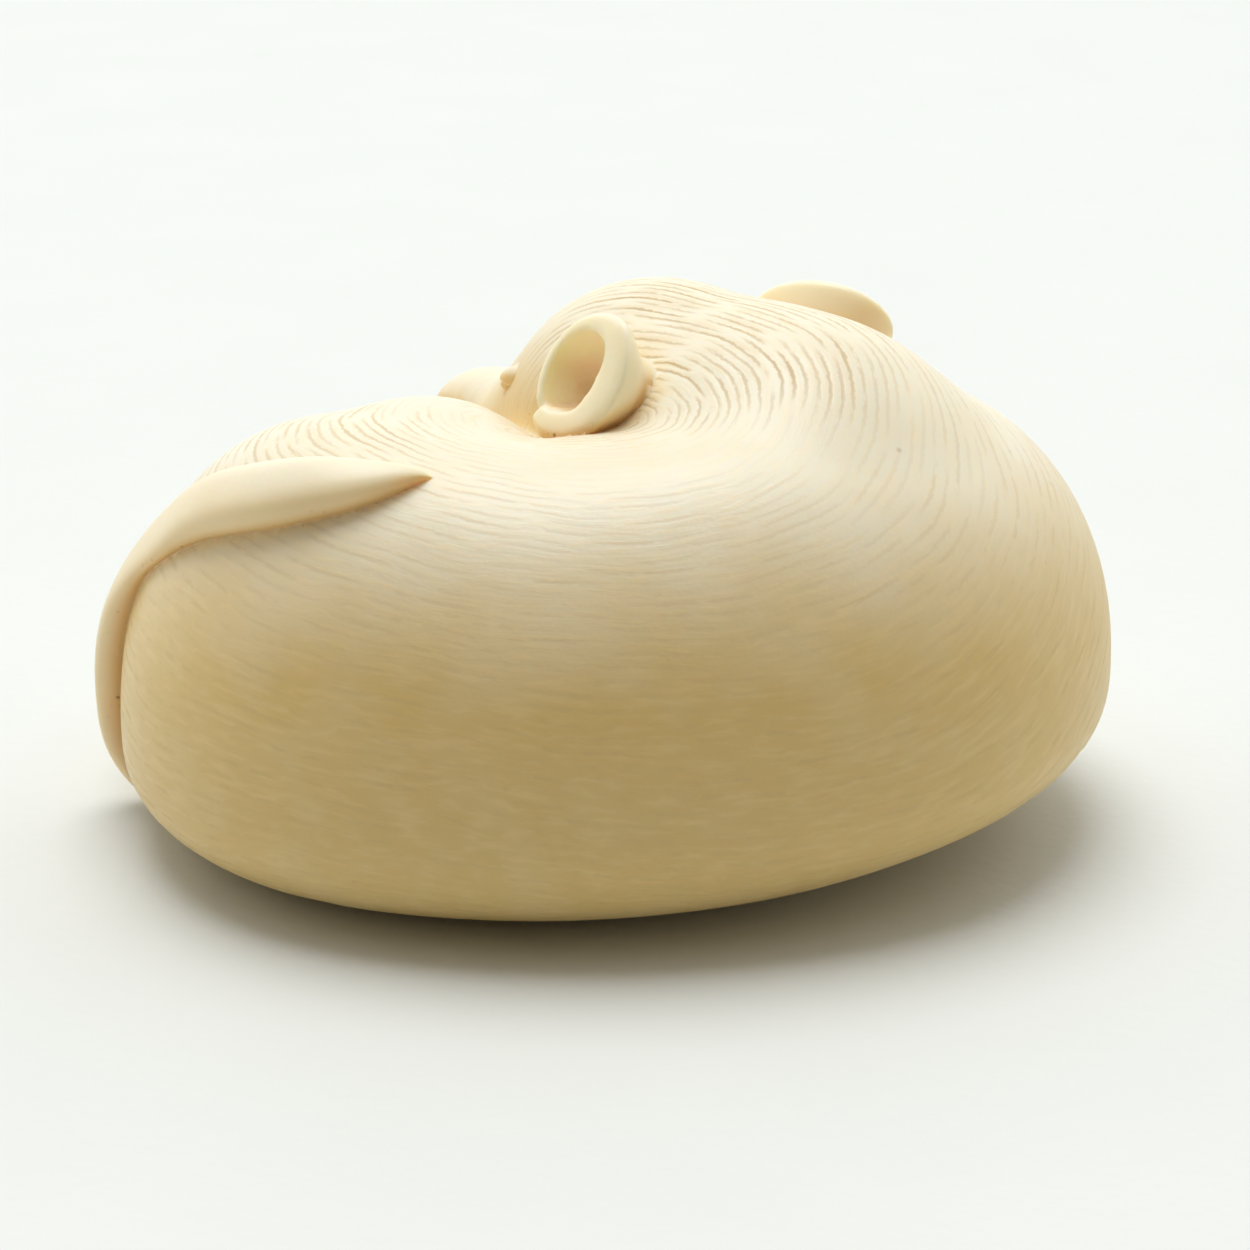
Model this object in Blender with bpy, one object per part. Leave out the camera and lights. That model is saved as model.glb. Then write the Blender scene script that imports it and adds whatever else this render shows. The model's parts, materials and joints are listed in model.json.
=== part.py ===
"""A small okimono: a mouse curled up asleep, carved in one piece from a block of ivory.

The form is worked out from a few driving sizes. Free-form places are given on the carver's grid, which
divides the block's length into 51 squares, its depth into 38 and its height into 27, so that a square is
a millimetre at the real size. x runs from the rump to the shoulder, y from the mouse's back to its face,
and z up from the flat underside that it stands on.
"""

import math

import bmesh
import bpy
import numpy as np
from mathutils import Matrix, Vector

MM = 0.001

# Driving sizes of the block
LENGTH = 51 * MM
DEPTH = 38 * MM
HEIGHT = 27 * MM

# Driving sizes of the ears, which are open cups
EAR_WIDTH = 6.2 * MM
EAR_WALL = 0.7 * MM
EAR_REACH = 3.2 * MM
EAR_HOLLOW = 2.6 * MM

# Driving sizes of the tail, a keeled taper that lies on the rump
TAIL_WIDTH = 3.1 * MM
TAIL_RELIEF = 1.7 * MM

# Driving sizes of the feet
HIND_FOOT_WIDTH = 3.9 * MM
FOREPAW_WIDTH = 3.3 * MM
TOE_REACH = 2.3 * MM

SQUARE = np.array([LENGTH / 51, DEPTH / 38, HEIGHT / 27])

# The middle of the block's underside, in grid squares
MIDDLE = np.array([0.0, 0.9, 0.0])

# The heart of the block, from which the rounded form is measured outwards
HEART = np.array([0.0, 0.0, 9.0])

# Fineness of the facets
ROUND_THE_BODY = 70
DOWN_THE_BODY = 42
ROUND_AN_EAR = 18
ROUND_A_LIMB = 10
SPINE_SAMPLES = 56


def unit(vector):
    vector = np.asarray(vector, float)
    return vector / np.linalg.norm(vector)


def off_grid(places):
    """Grid places as places in the block, in metres."""
    return (places - MIDDLE) * SQUARE


def on_grid(places):
    """Places in the block, in metres, as grid places."""
    return places / SQUARE + MIDDLE


def smooth_step(low, high, value):
    share = np.clip((value - low) / (high - low), 0.0, 1.0)
    return share * share * (3 - 2 * share)


def smooth_join(first, second, blend):
    """The union of two fields, with a fillet about as wide as blend where they meet."""
    overlap = np.maximum(blend - np.abs(first - second), 0.0) / blend
    return np.minimum(first, second) - overlap * overlap * blend / 4


def through(stations, count):
    """Rows read at even steps from a smooth curve through the stations."""
    rows = np.asarray(stations, float)
    padded = np.vstack([2 * rows[0] - rows[1], rows, 2 * rows[-1] - rows[-2]])
    places = np.linspace(0, len(rows) - 1, count)
    first = np.minimum(places.astype(int), len(rows) - 2)
    t = (places - first)[:, None]
    a, b, c, d = (padded[first + step] for step in range(4))
    return b + 0.5 * t * (c - a + t * (2 * a - 5 * b + 4 * c - d + t * (3 * (b - c) + d - a)))


# The trunk follows the mouse's back, from the rump on the left, round the front, to the shoulder.
# Each station: x, y, half width, and the heights of the crest, the waist and the keel, in grid squares.
TRUNK = through(
    (
        (-11.2, 8.0, 9.4, 16.9, 5.7, -0.5),
        (-13.4, 2.0, 10.8, 20.0, 5.3, -0.5),
        (-10.6, -4.2, 11.2, 22.0, 6.4, -0.3),
        (-3.0, -7.2, 10.8, 22.0, 7.2, 0.0),
        (5.0, -6.2, 11.1, 22.8, 7.8, 0.5),
        (11.0, -2.2, 12.0, 23.2, 8.2, 1.5),
        (12.6, 4.0, 12.7, 23.2, 8.2, 1.4),
        (9.5, 8.5, 10.0, 21.6, 8.2, 0.0),
    ),
    SPINE_SAMPLES,
)
FULLNESS_ABOVE = 2.1
FULLNESS_BELOW = 2.6

# The head's own axes: forward to the nose, to its right ear, and up to the crown
HEAD = np.array([2.7, 5.2, 19.1])
AHEAD = unit((-0.78, 0.62, -0.12))
RIGHT = unit(np.cross(AHEAD, (0.0, 0.05, 1.0)))
UP = np.cross(RIGHT, AHEAD)
HEAD_AXES = np.array([AHEAD, RIGHT, UP])


def on_head(ahead, right, up):
    """A place on the grid, given in squares along the head's own axes."""
    return HEAD + ahead * AHEAD + right * RIGHT + up * UP


def ellipsoid(points, centre, radii, axes=None):
    """How far each point lies outside an ellipsoid, nearly."""
    offset = points - centre
    if axes is not None:
        offset = offset @ np.asarray(axes).T
    scaled = np.linalg.norm(offset / radii, axis=1)
    steep = np.linalg.norm(offset / np.square(radii), axis=1)
    return scaled * (scaled - 1) / np.maximum(steep, 1e-9)


def trunk(points):
    """The back, curled round like a sausage, full at the top and drawn in below."""
    nearest = np.full(len(points), np.inf)
    for x, y, half_width, crest, waist, keel in TRUNK:
        sideways = np.hypot(points[:, 0] - x, points[:, 1] - y) / half_width
        height = points[:, 2] - waist
        above = height > 0
        rise = np.abs(height) / np.where(above, crest - waist, waist - keel)
        fullness = np.where(above, FULLNESS_ABOVE, FULLNESS_BELOW)
        shape = (sideways**fullness + rise**fullness) ** (1 / fullness)
        nearest = np.minimum(nearest, (shape - 1) * (waist - keel))
    return nearest


def rump(points):
    """The trunk with the belly filled in and the rounded thigh on the far left."""
    belly = ellipsoid(points, (-1.0, 6.0, 7.5), (11.0, 9.5, 10.4))
    thigh = ellipsoid(points, (-12.2, 9.4, 8.0), (9.9, 8.8, 9.6))
    loin = ellipsoid(points, (-8.0, -0.8, 14.0), (6.4, 6.0, 8.0))
    filled = smooth_join(trunk(points), loin, 2.0)
    filled = smooth_join(filled, belly, 2.0)
    return smooth_join(filled, thigh, 1.6)


def head(points):
    """Skull, neck, cheeks, muzzle and chin, which point back over the far side and rest on the flank."""
    skull = ellipsoid(points, HEAD, (8.2, 7.6, 7.7), HEAD_AXES)
    neck = ellipsoid(points, on_head(-7.0, 0.5, -1.2), (8.0, 7.6, 8.1), HEAD_AXES)
    face = ellipsoid(points, on_head(6.0, 0.0, -1.2), (5.4, 5.0, 4.6), HEAD_AXES)
    muzzle = ellipsoid(points, on_head(11.0, 0.0, 0.0), (3.6, 2.7, 2.6), HEAD_AXES)
    chin = ellipsoid(points, on_head(6.5, 0.0, -3.8), (6.4, 3.2, 3.4), HEAD_AXES)
    shape = smooth_join(skull, neck, 3.0)
    shape = smooth_join(shape, face, 2.2)
    shape = smooth_join(shape, chin, 1.6)
    return smooth_join(shape, muzzle, 1.6)


def body(points):
    """How far each point lies outside the mouse, in grid squares. It is negative inside."""
    behind = (points - HEAD) @ AHEAD
    blend = 0.5 + 3.0 * smooth_step(2.0, -7.0, behind)
    return smooth_join(rump(points), head(points), blend)


REACH_IN = 2.0
REACH_OUT = 36.0
COARSE_STEPS = 90
HALVINGS = 14


def surface(directions):
    """Where rays from the heart leave the mouse, in grid squares."""
    near = np.full(len(directions), REACH_IN)
    far = np.full(len(directions), REACH_OUT)
    found = np.zeros(len(directions), bool)
    for distance in np.linspace(REACH_OUT, REACH_IN, COARSE_STEPS):
        inside = ~found & (body(HEART + distance * directions) < 0)
        near[inside] = distance
        far[~found & ~inside] = distance
        found |= inside
    for _ in range(HALVINGS):
        middle = (near + far) / 2
        inside = body(HEART + middle[:, None] * directions) < 0
        near = np.where(inside, middle, near)
        far = np.where(inside, far, middle)
    return HEART + near[:, None] * directions


def facing(points, step=0.05):
    """The outward direction of the mouse's surface at each point."""
    slopes = [body(points + step * axis) - body(points - step * axis) for axis in np.eye(3)]
    slopes = np.stack(slopes, axis=1)
    return slopes / np.linalg.norm(slopes, axis=1)[:, None]


# The fur lies in ovals round this slit beside the near ear, and the facets follow the same ovals.
PARTING = np.array([-2.0, 0.8, 0.0])
PARTING_HALF_LENGTH = 6.8
PARTING_RISE = 10.0
PARTING_FADE = 3.0


def oval_directions(down, around):
    """Directions from the heart, laid in ovals: down from 0 at the parting to pi, around in radians."""
    share = ((1 + np.cos(down)) / 2) ** PARTING_FADE
    long_way = np.hypot(np.sin(down), share * PARTING_HALF_LENGTH / PARTING_RISE)
    lengthwise = -unit(AHEAD[:2])
    crosswise = np.array([-lengthwise[1], lengthwise[0]])
    plan = np.outer(long_way * np.cos(around), lengthwise)
    plan += np.outer(np.sin(down) * np.sin(around), crosswise)
    plan += np.outer(share, PARTING[:2] / PARTING_RISE)
    directions = np.column_stack([plan, np.cos(down)])
    return directions / np.linalg.norm(directions, axis=1)[:, None]


def stitch_parting(form, around):
    """Closes the slit at the top of the ovals: its two lips are sewn together, point by point."""
    form.verts.ensure_lookup_table()
    pole = max(form.verts, key=lambda vertex: vertex.co.z)
    ring = [edge.other_vert(pole) for edge in pole.link_edges]
    ring.sort(key=lambda vertex: math.atan2(vertex.co.y, vertex.co.x) % (2 * math.pi))
    form.verts.remove(pole)
    half = around // 2
    form.faces.new((ring[0], ring[1], ring[-1]))
    for step in range(1, half - 1):
        form.faces.new((ring[step], ring[step + 1], ring[-step - 1], ring[-step]))
    form.faces.new((ring[half - 1], ring[half], ring[half + 1]))


def carve_body():
    """A ball of facets, drawn out onto the mouse and sawn flat underneath."""
    form = bmesh.new()
    bmesh.ops.create_uvsphere(form, u_segments=ROUND_THE_BODY, v_segments=DOWN_THE_BODY, radius=1)
    stitch_parting(form, ROUND_THE_BODY)
    ball = np.array([vertex.co for vertex in form.verts])
    down = np.arccos(np.clip(ball[:, 2], -1, 1))
    around = np.arctan2(ball[:, 1], ball[:, 0])
    for vertex, place in zip(form.verts, off_grid(surface(oval_directions(down, around)))):
        vertex.co = place
    everything = form.verts[:] + form.edges[:] + form.faces[:]
    bmesh.ops.bisect_plane(
        form, geom=everything, dist=1e-7, plane_co=(0, 0, 0), plane_no=(0, 0, -1), clear_outer=True
    )
    bmesh.ops.holes_fill(form, edges=[edge for edge in form.edges if edge.is_boundary], sides=0)
    bmesh.ops.recalc_face_normals(form, faces=form.faces)
    return form


# Each ear: its root on the head, and the way it opens, both along the head's own axes
NEAR_EAR = ((-2.4, -6.1, 2.9), (0.06, -0.88, 0.46))
FAR_EAR = ((-4.6, 6.8, 2.4), (0.15, 0.75, 0.62))


def ear_form(root_place, opening):
    """An open cup turned about its axis, rooted in the skull and leaning out to one side."""
    rim = EAR_WIDTH / 2
    root = -0.9 * EAR_REACH
    lip = EAR_WALL / 2
    profile = (
        (0, root),
        (0.62 * rim, root),
        (0.70 * rim, 0.15 * EAR_REACH),
        (0.88 * rim, 0.55 * EAR_REACH),
        (rim, 0.88 * EAR_REACH),
        (rim - 0.3 * lip, EAR_REACH),
        (rim - lip, EAR_REACH + 0.3 * lip),
        (rim - 1.7 * lip, EAR_REACH),
        (rim - 2.1 * lip, 0.85 * EAR_REACH),
        (rim - 3.4 * lip, EAR_REACH - 0.55 * EAR_HOLLOW),
        (0.40 * rim, EAR_REACH - 0.92 * EAR_HOLLOW),
        (0, EAR_REACH - EAR_HOLLOW),
    )
    form = bmesh.new()
    line = [form.verts.new((radius, 0, height)) for radius, height in profile]
    edges = [form.edges.new(pair) for pair in zip(line, line[1:])]
    bmesh.ops.spin(
        form,
        geom=line + edges,
        cent=(0, 0, 0),
        axis=(0, 0, 1),
        angle=2 * math.pi,
        steps=ROUND_AN_EAR,
        use_merge=True,
    )
    bmesh.ops.remove_doubles(form, verts=form.verts, dist=1e-6)
    bmesh.ops.recalc_face_normals(form, faces=form.faces)
    outward = unit(np.array(opening) @ HEAD_AXES)
    cup = Vector(outward)
    forward = Vector(unit(AHEAD - np.dot(AHEAD, outward) * outward))
    place = Vector(off_grid(on_head(*root_place)))
    frame = Matrix((forward, cup.cross(forward), cup)).transposed().to_4x4()
    bmesh.ops.transform(form, matrix=Matrix.Translation(place) @ frame, verts=form.verts)
    return form


def taper_form(path, outward, half_widths, half_heights, depths, keel=1.0, sides=ROUND_A_LIMB):
    """A closed limb swept along a path, with an oval section that is rooted in the body to its depths.

    A keel over 1 draws the sides of the section to an edge.
    """
    form = bmesh.new()
    rings = []
    turns = np.linspace(0, 2 * math.pi, sides, endpoint=False)
    spreads = np.sign(np.cos(turns)) * np.abs(np.cos(turns)) ** keel
    ahead = np.gradient(path, axis=0)
    for place, along, out, half_width, half_height, depth in zip(
        path, ahead, outward, half_widths, half_heights, depths
    ):
        across = unit(np.cross(along, out))
        out = np.cross(across, unit(along))
        ring = []
        for spread, lift in zip(spreads, np.sin(turns)):
            rise = lift * (half_height if lift > 0 else depth)
            ring.append(form.verts.new(place + half_width * spread * across + rise * out))
        rings.append(ring)
    for first, second in zip(rings, rings[1:]):
        for step in range(sides):
            after = (step + 1) % sides
            form.faces.new((first[step], first[after], second[after], second[step]))
    form.faces.new(rings[0][::-1])
    form.faces.new(rings[-1])
    bmesh.ops.recalc_face_normals(form, faces=form.faces)
    return form


def lay_on_body(route, samples):
    """A path on the mouse's surface beside the route, and the way out of the surface along it."""
    aim = through(route, samples) - HEART
    ground = surface(aim / np.linalg.norm(aim, axis=1)[:, None])
    outward = facing(ground) / SQUARE
    return off_grid(ground), outward / np.linalg.norm(outward, axis=1)[:, None]


# The tail's middle line, from its root low at the back left, up over the rump to its tip
TAIL_ROUTE = (
    (-22.5, 2.6, 1.8),
    (-24.5, 2.3, 5.0),
    (-24.5, 1.1, 9.5),
    (-22.5, -1.8, 14.8),
    (-18.5, -5.2, 18.8),
    (-13.5, -8.2, 20.8),
    (-7.6, -9.6, 21.0),
)
TAIL_SAMPLES = 26


def tail_form():
    """The tail: narrow at the root, widest over the rump, and drawn to a point."""
    path, outward = lay_on_body(TAIL_ROUTE, TAIL_SAMPLES)
    share = np.linspace(0, 1, TAIL_SAMPLES)
    swell = smooth_step(0.1, 0.65, share)
    point = 1 - np.clip((share - 0.6) / 0.4, 0.0, 0.97) ** 1.7
    relief = TAIL_RELIEF * (0.65 + 0.35 * swell) * point
    half_width = TAIL_WIDTH / 2 * (0.45 + 0.55 * swell) * point
    middle = path + outward * (0.25 * relief)[:, None]
    return taper_form(middle, outward, half_width, 0.75 * relief, 0.95 * relief, keel=1.25)


# Each foot's middle line, from where it leaves the body to where its toes begin, and its share of
# full width at those places
HIND_FOOT_ROUTE = (
    (-23.6, 5.6, 10.2),
    (-21.8, 11.0, 7.2),
    (-17.5, 15.5, 4.6),
    (-11.5, 18.0, 3.2),
    (-8.0, 18.0, 3.0),
)
HIND_FOOT_SWELL = (1.5, 1.0, 0.85, 1.0, 0.95)
LOWER_PAW_ROUTE = ((15.5, 14.5, 5.0), (10.5, 17.5, 3.6), (5.0, 17.0, 3.0), (1.5, 16.0, 2.9))
UPPER_PAW_ROUTE = ((12.5, 16.0, 10.0), (8.0, 17.0, 8.8), (3.0, 16.5, 7.8), (-0.5, 15.5, 7.6))
FOREPAW_SWELL = (1.35, 1.15, 0.85, 1.0)
FOOT_SAMPLES = 12
FOOT_FLATNESS = 0.72
TOES = 4
TOE_FILL = 0.84
TOE_SAMPLES = 5
TOE_SIDES = 8


def foot_forms(route, swell, width):
    """A long smooth foot that hugs the body, and its row of short round toes."""
    path, outward = lay_on_body(route, FOOT_SAMPLES)
    swell = through(np.array(swell)[:, None], FOOT_SAMPLES)[:, 0]
    ends = np.sqrt(1 - 0.9 * np.abs(np.linspace(-1, 1, FOOT_SAMPLES)) ** 6)
    half_width = width / 2 * swell * ends
    half_height = FOOT_FLATNESS * half_width
    forms = [taper_form(path, outward, half_width, half_height, half_height)]
    along = unit(path[-1] - path[-3])
    across = unit(np.cross(along, outward[-1]))
    pitch = 0.95 * width / TOES
    shares = np.linspace(-0.7, 1.0, TOE_SAMPLES)
    half = TOE_FILL * pitch / 2 * np.sqrt(1 - 0.85 * np.clip((shares - 0.15) / 0.85, 0, 1) ** 4)
    lift = FOOT_FLATNESS * width / 2 * (0.35 - 0.2 * smooth_step(-0.3, 0.8, shares))
    for toe in range(TOES):
        aside = (toe - (TOES - 1) / 2) * pitch
        reach = TOE_REACH * (1.0 if toe in (1, 2) else 0.8)
        route = on_grid(path[-1] + aside * across + np.outer(shares * reach, along))
        toe_path, toe_outward = lay_on_body(route, TOE_SAMPLES)
        toe_path += toe_outward * lift[:, None]
        forms.append(taper_form(toe_path, toe_outward, half, 1.2 * half, lift + half, sides=TOE_SIDES))
    return forms


def pebble_form(toward, radii, axes, sink):
    """A small rounded swelling on the surface, such as a closed eyelid or the tip of the nose."""
    form = bmesh.new()
    bmesh.ops.create_uvsphere(form, u_segments=10, v_segments=7, radius=1)
    ground = surface(unit(toward - HEART)[None])
    place = Vector(off_grid(ground - sink * facing(ground))[0])
    frame = Matrix([Vector(axis) for axis in axes]).transposed().to_4x4()
    swell = Matrix.Diagonal(Vector((*radii, 1)))
    bmesh.ops.transform(form, matrix=Matrix.Translation(place) @ frame @ swell, verts=form.verts)
    return form


EYELID = np.array([1.8, 1.0, 0.8]) * MM
NOSE = np.array([0.8, 0.95, 0.75]) * MM


def as_object(name, form, material):
    mesh = bpy.data.meshes.new(name)
    bmesh.ops.triangulate(form, faces=form.faces)
    form.to_mesh(mesh)
    form.free()
    mesh.materials.append(material)
    mesh.shade_smooth()
    mesh.set_sharp_from_angle(angle=math.radians(50))
    thing = bpy.data.objects.new(name, mesh)
    bpy.context.scene.collection.objects.link(thing)
    return thing


def ivory():
    """Pale, slightly warm and softly polished."""
    material = bpy.data.materials.new("ivory")
    material.use_nodes = True
    shader = material.node_tree.nodes["Principled BSDF"]
    shader.inputs["Base Color"].default_value = (0.86, 0.76, 0.56, 1)
    shader.inputs["Roughness"].default_value = 0.42
    shader.inputs["Metallic"].default_value = 0.0
    return material


def carve_details(material):
    """Every smaller shape that stands out from the body, by name."""
    shapes = {
        "near_ear": ear_form(*NEAR_EAR),
        "far_ear": ear_form(*FAR_EAR),
        "tail": tail_form(),
        "nose": pebble_form(on_head(15.0, 0.0, 0.2), NOSE, HEAD_AXES, 0.3),
    }
    for name, side in (("near_eyelid", -1), ("far_eyelid", 1)):
        axes = (AHEAD, side * UP, side * RIGHT)
        shapes[name] = pebble_form(on_head(5.6, side * 5.0, 2.6), EYELID, axes, 0.3)
    feet = {
        "hind": (HIND_FOOT_ROUTE, HIND_FOOT_SWELL, HIND_FOOT_WIDTH),
        "lower_fore": (LOWER_PAW_ROUTE, FOREPAW_SWELL, FOREPAW_WIDTH),
        "upper_fore": (UPPER_PAW_ROUTE, FOREPAW_SWELL, FOREPAW_WIDTH),
    }
    for name, shape in feet.items():
        for count, form in enumerate(foot_forms(*shape)):
            shapes[f"{name}_toe_{count}" if count else f"{name}_foot"] = form
    return [as_object(name, form, material) for name, form in shapes.items()]


def main():
    for thing in list(bpy.data.objects):
        bpy.data.objects.remove(thing)
    material = ivory()
    mouse = as_object("mouse", carve_body(), material)
    details = bpy.data.collections.new("details")
    bpy.context.scene.collection.children.link(details)
    for detail in carve_details(material):
        detail.hide_render = True
        detail.display_type = "WIRE"
        bpy.context.scene.collection.objects.unlink(detail)
        details.objects.link(detail)
    union = mouse.modifiers.new("one piece", "BOOLEAN")
    union.operation = "UNION"
    union.solver = "EXACT"
    union.operand_type = "COLLECTION"
    union.collection = details


main()
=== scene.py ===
# %% [markdown]
# # A mouse curled up asleep, carved from one piece of ivory
#
# The ornament is about five centimetres long. The mouse lies in a ring with its back to us, its head
# laid over its own flank, and its tail drawn over its rump. Fine strokes for the fur run all over it.
# The lesson goes from the rounded form to the fur, then to ears, tail and feet, and last to the
# surface of old ivory, the table and the light.

import json
import math
import time

import bmesh
import bpy
import numpy as np
from mathutils import Matrix, Vector
from mathutils.bvhtree import BVHTree
from mathutils.kdtree import KDTree

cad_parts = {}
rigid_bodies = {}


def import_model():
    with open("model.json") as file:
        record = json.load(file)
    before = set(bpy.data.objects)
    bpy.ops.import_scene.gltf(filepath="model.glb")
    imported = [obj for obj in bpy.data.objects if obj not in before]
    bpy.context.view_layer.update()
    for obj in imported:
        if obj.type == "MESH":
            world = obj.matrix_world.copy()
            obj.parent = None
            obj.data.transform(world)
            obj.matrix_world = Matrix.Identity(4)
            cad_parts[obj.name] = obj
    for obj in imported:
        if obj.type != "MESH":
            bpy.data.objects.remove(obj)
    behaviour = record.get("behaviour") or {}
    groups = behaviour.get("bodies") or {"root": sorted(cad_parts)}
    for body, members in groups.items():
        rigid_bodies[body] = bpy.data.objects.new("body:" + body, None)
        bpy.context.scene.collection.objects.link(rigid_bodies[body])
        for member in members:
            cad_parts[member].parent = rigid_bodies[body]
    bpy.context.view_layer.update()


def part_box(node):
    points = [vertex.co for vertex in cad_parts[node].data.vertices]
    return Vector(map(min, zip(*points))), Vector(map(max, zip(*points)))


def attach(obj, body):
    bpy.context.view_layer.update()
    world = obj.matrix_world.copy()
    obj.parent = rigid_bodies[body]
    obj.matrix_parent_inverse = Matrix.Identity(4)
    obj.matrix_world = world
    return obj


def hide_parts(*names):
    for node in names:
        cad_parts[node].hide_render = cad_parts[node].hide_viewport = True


started = time.time()
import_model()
low_corner, high_corner = (np.array(corner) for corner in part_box("mouse"))
print("the solid mouse measures", np.round((high_corner - low_corner) * 1000, 1), "mm")

# %% [markdown]
# ## The carver's grid
#
# A free form has few places that a ruler can name. A carver draws a grid on the block instead, and so
# does this lesson: the finished solid is 50.7 squares long, 37.9 deep and 27.1 high, and its measured
# size tells how large a square is. Places on the body are written in squares, and the small parts that
# are cut to a width of their own, such as ears and toes, are written in millimetres.

# %% The grid and a few small helpers
MM = 0.001
BLOCK_IN_SQUARES = np.array([50.73, 37.94, 27.10])
SQUARE = (high_corner - low_corner) / BLOCK_IN_SQUARES
MIDDLE = np.array([0.0, 0.9, 0.0])
HEART = np.array([0.0, 0.0, 9.0])


def so_far():
    """The time since the start, for the printed lines."""
    return f"after {time.time() - started:.1f} s"


def off_grid(places):
    """Grid places as places in the block, in metres."""
    return (places - MIDDLE) * SQUARE


def on_grid(places):
    """Places in the block, in metres, as grid places."""
    return places / SQUARE + MIDDLE


def unit(vector):
    """The vector at a length of one."""
    vector = np.asarray(vector, float)
    return vector / np.linalg.norm(vector)


def unit_rows(vectors):
    """Every row of a table of vectors at a length of one."""
    return vectors / np.linalg.norm(vectors, axis=1)[:, None]


def smooth_step(low, high, value):
    """Value's way from low to high as a share from 0 to 1, eased at both ends."""
    share = np.clip((value - low) / (high - low), 0.0, 1.0)
    return share * share * (3 - 2 * share)


print("a square is", np.round(SQUARE / MM, 3), "mm")

# %% [markdown]
# ## The rounded form
#
# Each part of the body is a simple swelling: a long trunk that curls round, a thigh, a belly, a skull.
# A field says how far any point lies outside a swelling, and two fields melt into one with a fillet.
# Modelling the form this way keeps every surface full and taut, as it is when ivory is rubbed down
# from a block, and the same few stations drive the whole of it.

# %% Joining swellings


def smooth_join(first, second, blend):
    """The union of two fields, with a fillet about as wide as blend where they meet."""
    overlap = np.maximum(blend - np.abs(first - second), 0.0) / blend
    return np.minimum(first, second) - overlap * overlap * blend / 4


def through(stations, count):
    """Rows read at even steps from a smooth curve through the stations."""
    rows = np.asarray(stations, float)
    padded = np.vstack([2 * rows[0] - rows[1], rows, 2 * rows[-1] - rows[-2]])
    places = np.linspace(0, len(rows) - 1, count)
    first = np.minimum(places.astype(int), len(rows) - 2)
    t = (places - first)[:, None]
    a, b, c, d = (padded[first + step] for step in range(4))
    return b + 0.5 * t * (c - a + t * (2 * a - 5 * b + 4 * c - d + t * (3 * (b - c) + d - a)))


def ellipsoid(points, centre, radii, axes=None):
    """How far each point lies outside an ellipsoid, nearly."""
    offset = points - centre
    if axes is not None:
        offset = offset @ np.asarray(axes).T
    scaled = np.linalg.norm(offset / radii, axis=1)
    steep = np.linalg.norm(offset / np.square(radii), axis=1)
    return scaled * (scaled - 1) / np.maximum(steep, 1e-9)


print("two swellings that just touch, blended over 2, gain", float(-smooth_join(0.0, 0.0, 2.0)), "squares")

# %% [markdown]
# The back is the largest swelling. Its section is an upright oval that is led along a curved spine and
# grows and sinks from station to station, like the ribs of a boat. A bevelled curve would give the same
# look, but only a field can tell how deep a point lies inside.

# %% The trunk
# Each station: x, y, half width, and the heights of the crest, the waist and the keel.
TRUNK_STATIONS = (
    (-11.2, 8.0, 9.4, 16.9, 5.7, -0.5),
    (-13.4, 2.0, 10.8, 20.3, 5.3, -0.5),
    (-10.6, -4.2, 11.2, 22.4, 6.4, -0.3),
    (-3.0, -7.1, 10.8, 22.0, 7.2, 0.0),
    (5.0, -6.1, 11.1, 22.8, 7.8, 0.5),
    (11.0, -2.2, 12.0, 22.9, 8.2, 1.5),
    (12.6, 4.0, 12.7, 22.2, 8.2, 1.4),
    (9.5, 8.5, 10.0, 19.5, 8.2, 0.0),
)
SPINE_SAMPLES = 42
TRUNK = through(TRUNK_STATIONS, SPINE_SAMPLES)
FULLNESS_ABOVE = 2.1
FULLNESS_BELOW = 2.45


def trunk(points):
    """The back, curled round like a sausage, full at the top and drawn in below."""
    outside = np.empty((SPINE_SAMPLES, len(points)))
    for row, (x, y, half_width, crest, waist, keel) in zip(outside, TRUNK):
        sideways = np.hypot(points[:, 0] - x, points[:, 1] - y) / half_width
        height = points[:, 2] - waist
        above = height > 0
        rise = np.abs(height) / np.where(above, crest - waist, waist - keel)
        fullness = np.where(above, FULLNESS_ABOVE, FULLNESS_BELOW)
        shape = (sideways**fullness + rise**fullness) ** (1 / fullness)
        row[:] = (shape - 1) * (waist - keel)
    nearest = outside.argmin(axis=0)
    column = np.arange(len(points))
    here = outside[nearest, column]
    before = outside[np.maximum(nearest - 1, 0), column]
    after = outside[np.minimum(nearest + 1, SPINE_SAMPLES - 1), column]
    bend = np.maximum(before + after - 2 * here, 1e-9)
    inner = (nearest > 0) & (nearest < SPINE_SAMPLES - 1)
    return here - np.where(inner, (after - before) ** 2 / (8 * bend), 0.0)


print("the trunk is read at", SPINE_SAMPLES, "places along the spine")

# %% [markdown]
# The head has axes of its own: ahead to the nose, to its right, and up. Its swellings are set out along
# them, so that the whole head can be turned by one vector. At the nape it melts into the back with a
# wide fillet, and under the chin, where it only rests on the flank, with a tight one.

# %% The head
HEAD = np.array([2.7, 5.2, 19.1])
AHEAD = unit((-0.78, 0.62, -0.12))
RIGHT = unit(np.cross(AHEAD, (0.0, 0.05, 1.0)))
UP = np.cross(RIGHT, AHEAD)
HEAD_AXES = np.array([AHEAD, RIGHT, UP])


def on_head(ahead, right, up):
    """A place on the grid, given in squares along the head's own axes."""
    return HEAD + ahead * AHEAD + right * RIGHT + up * UP


print("the head looks along", np.round(AHEAD, 2))

# %% The whole body
NAPE_FILLET = 3.5
THROAT_FILLET = 0.5


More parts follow.
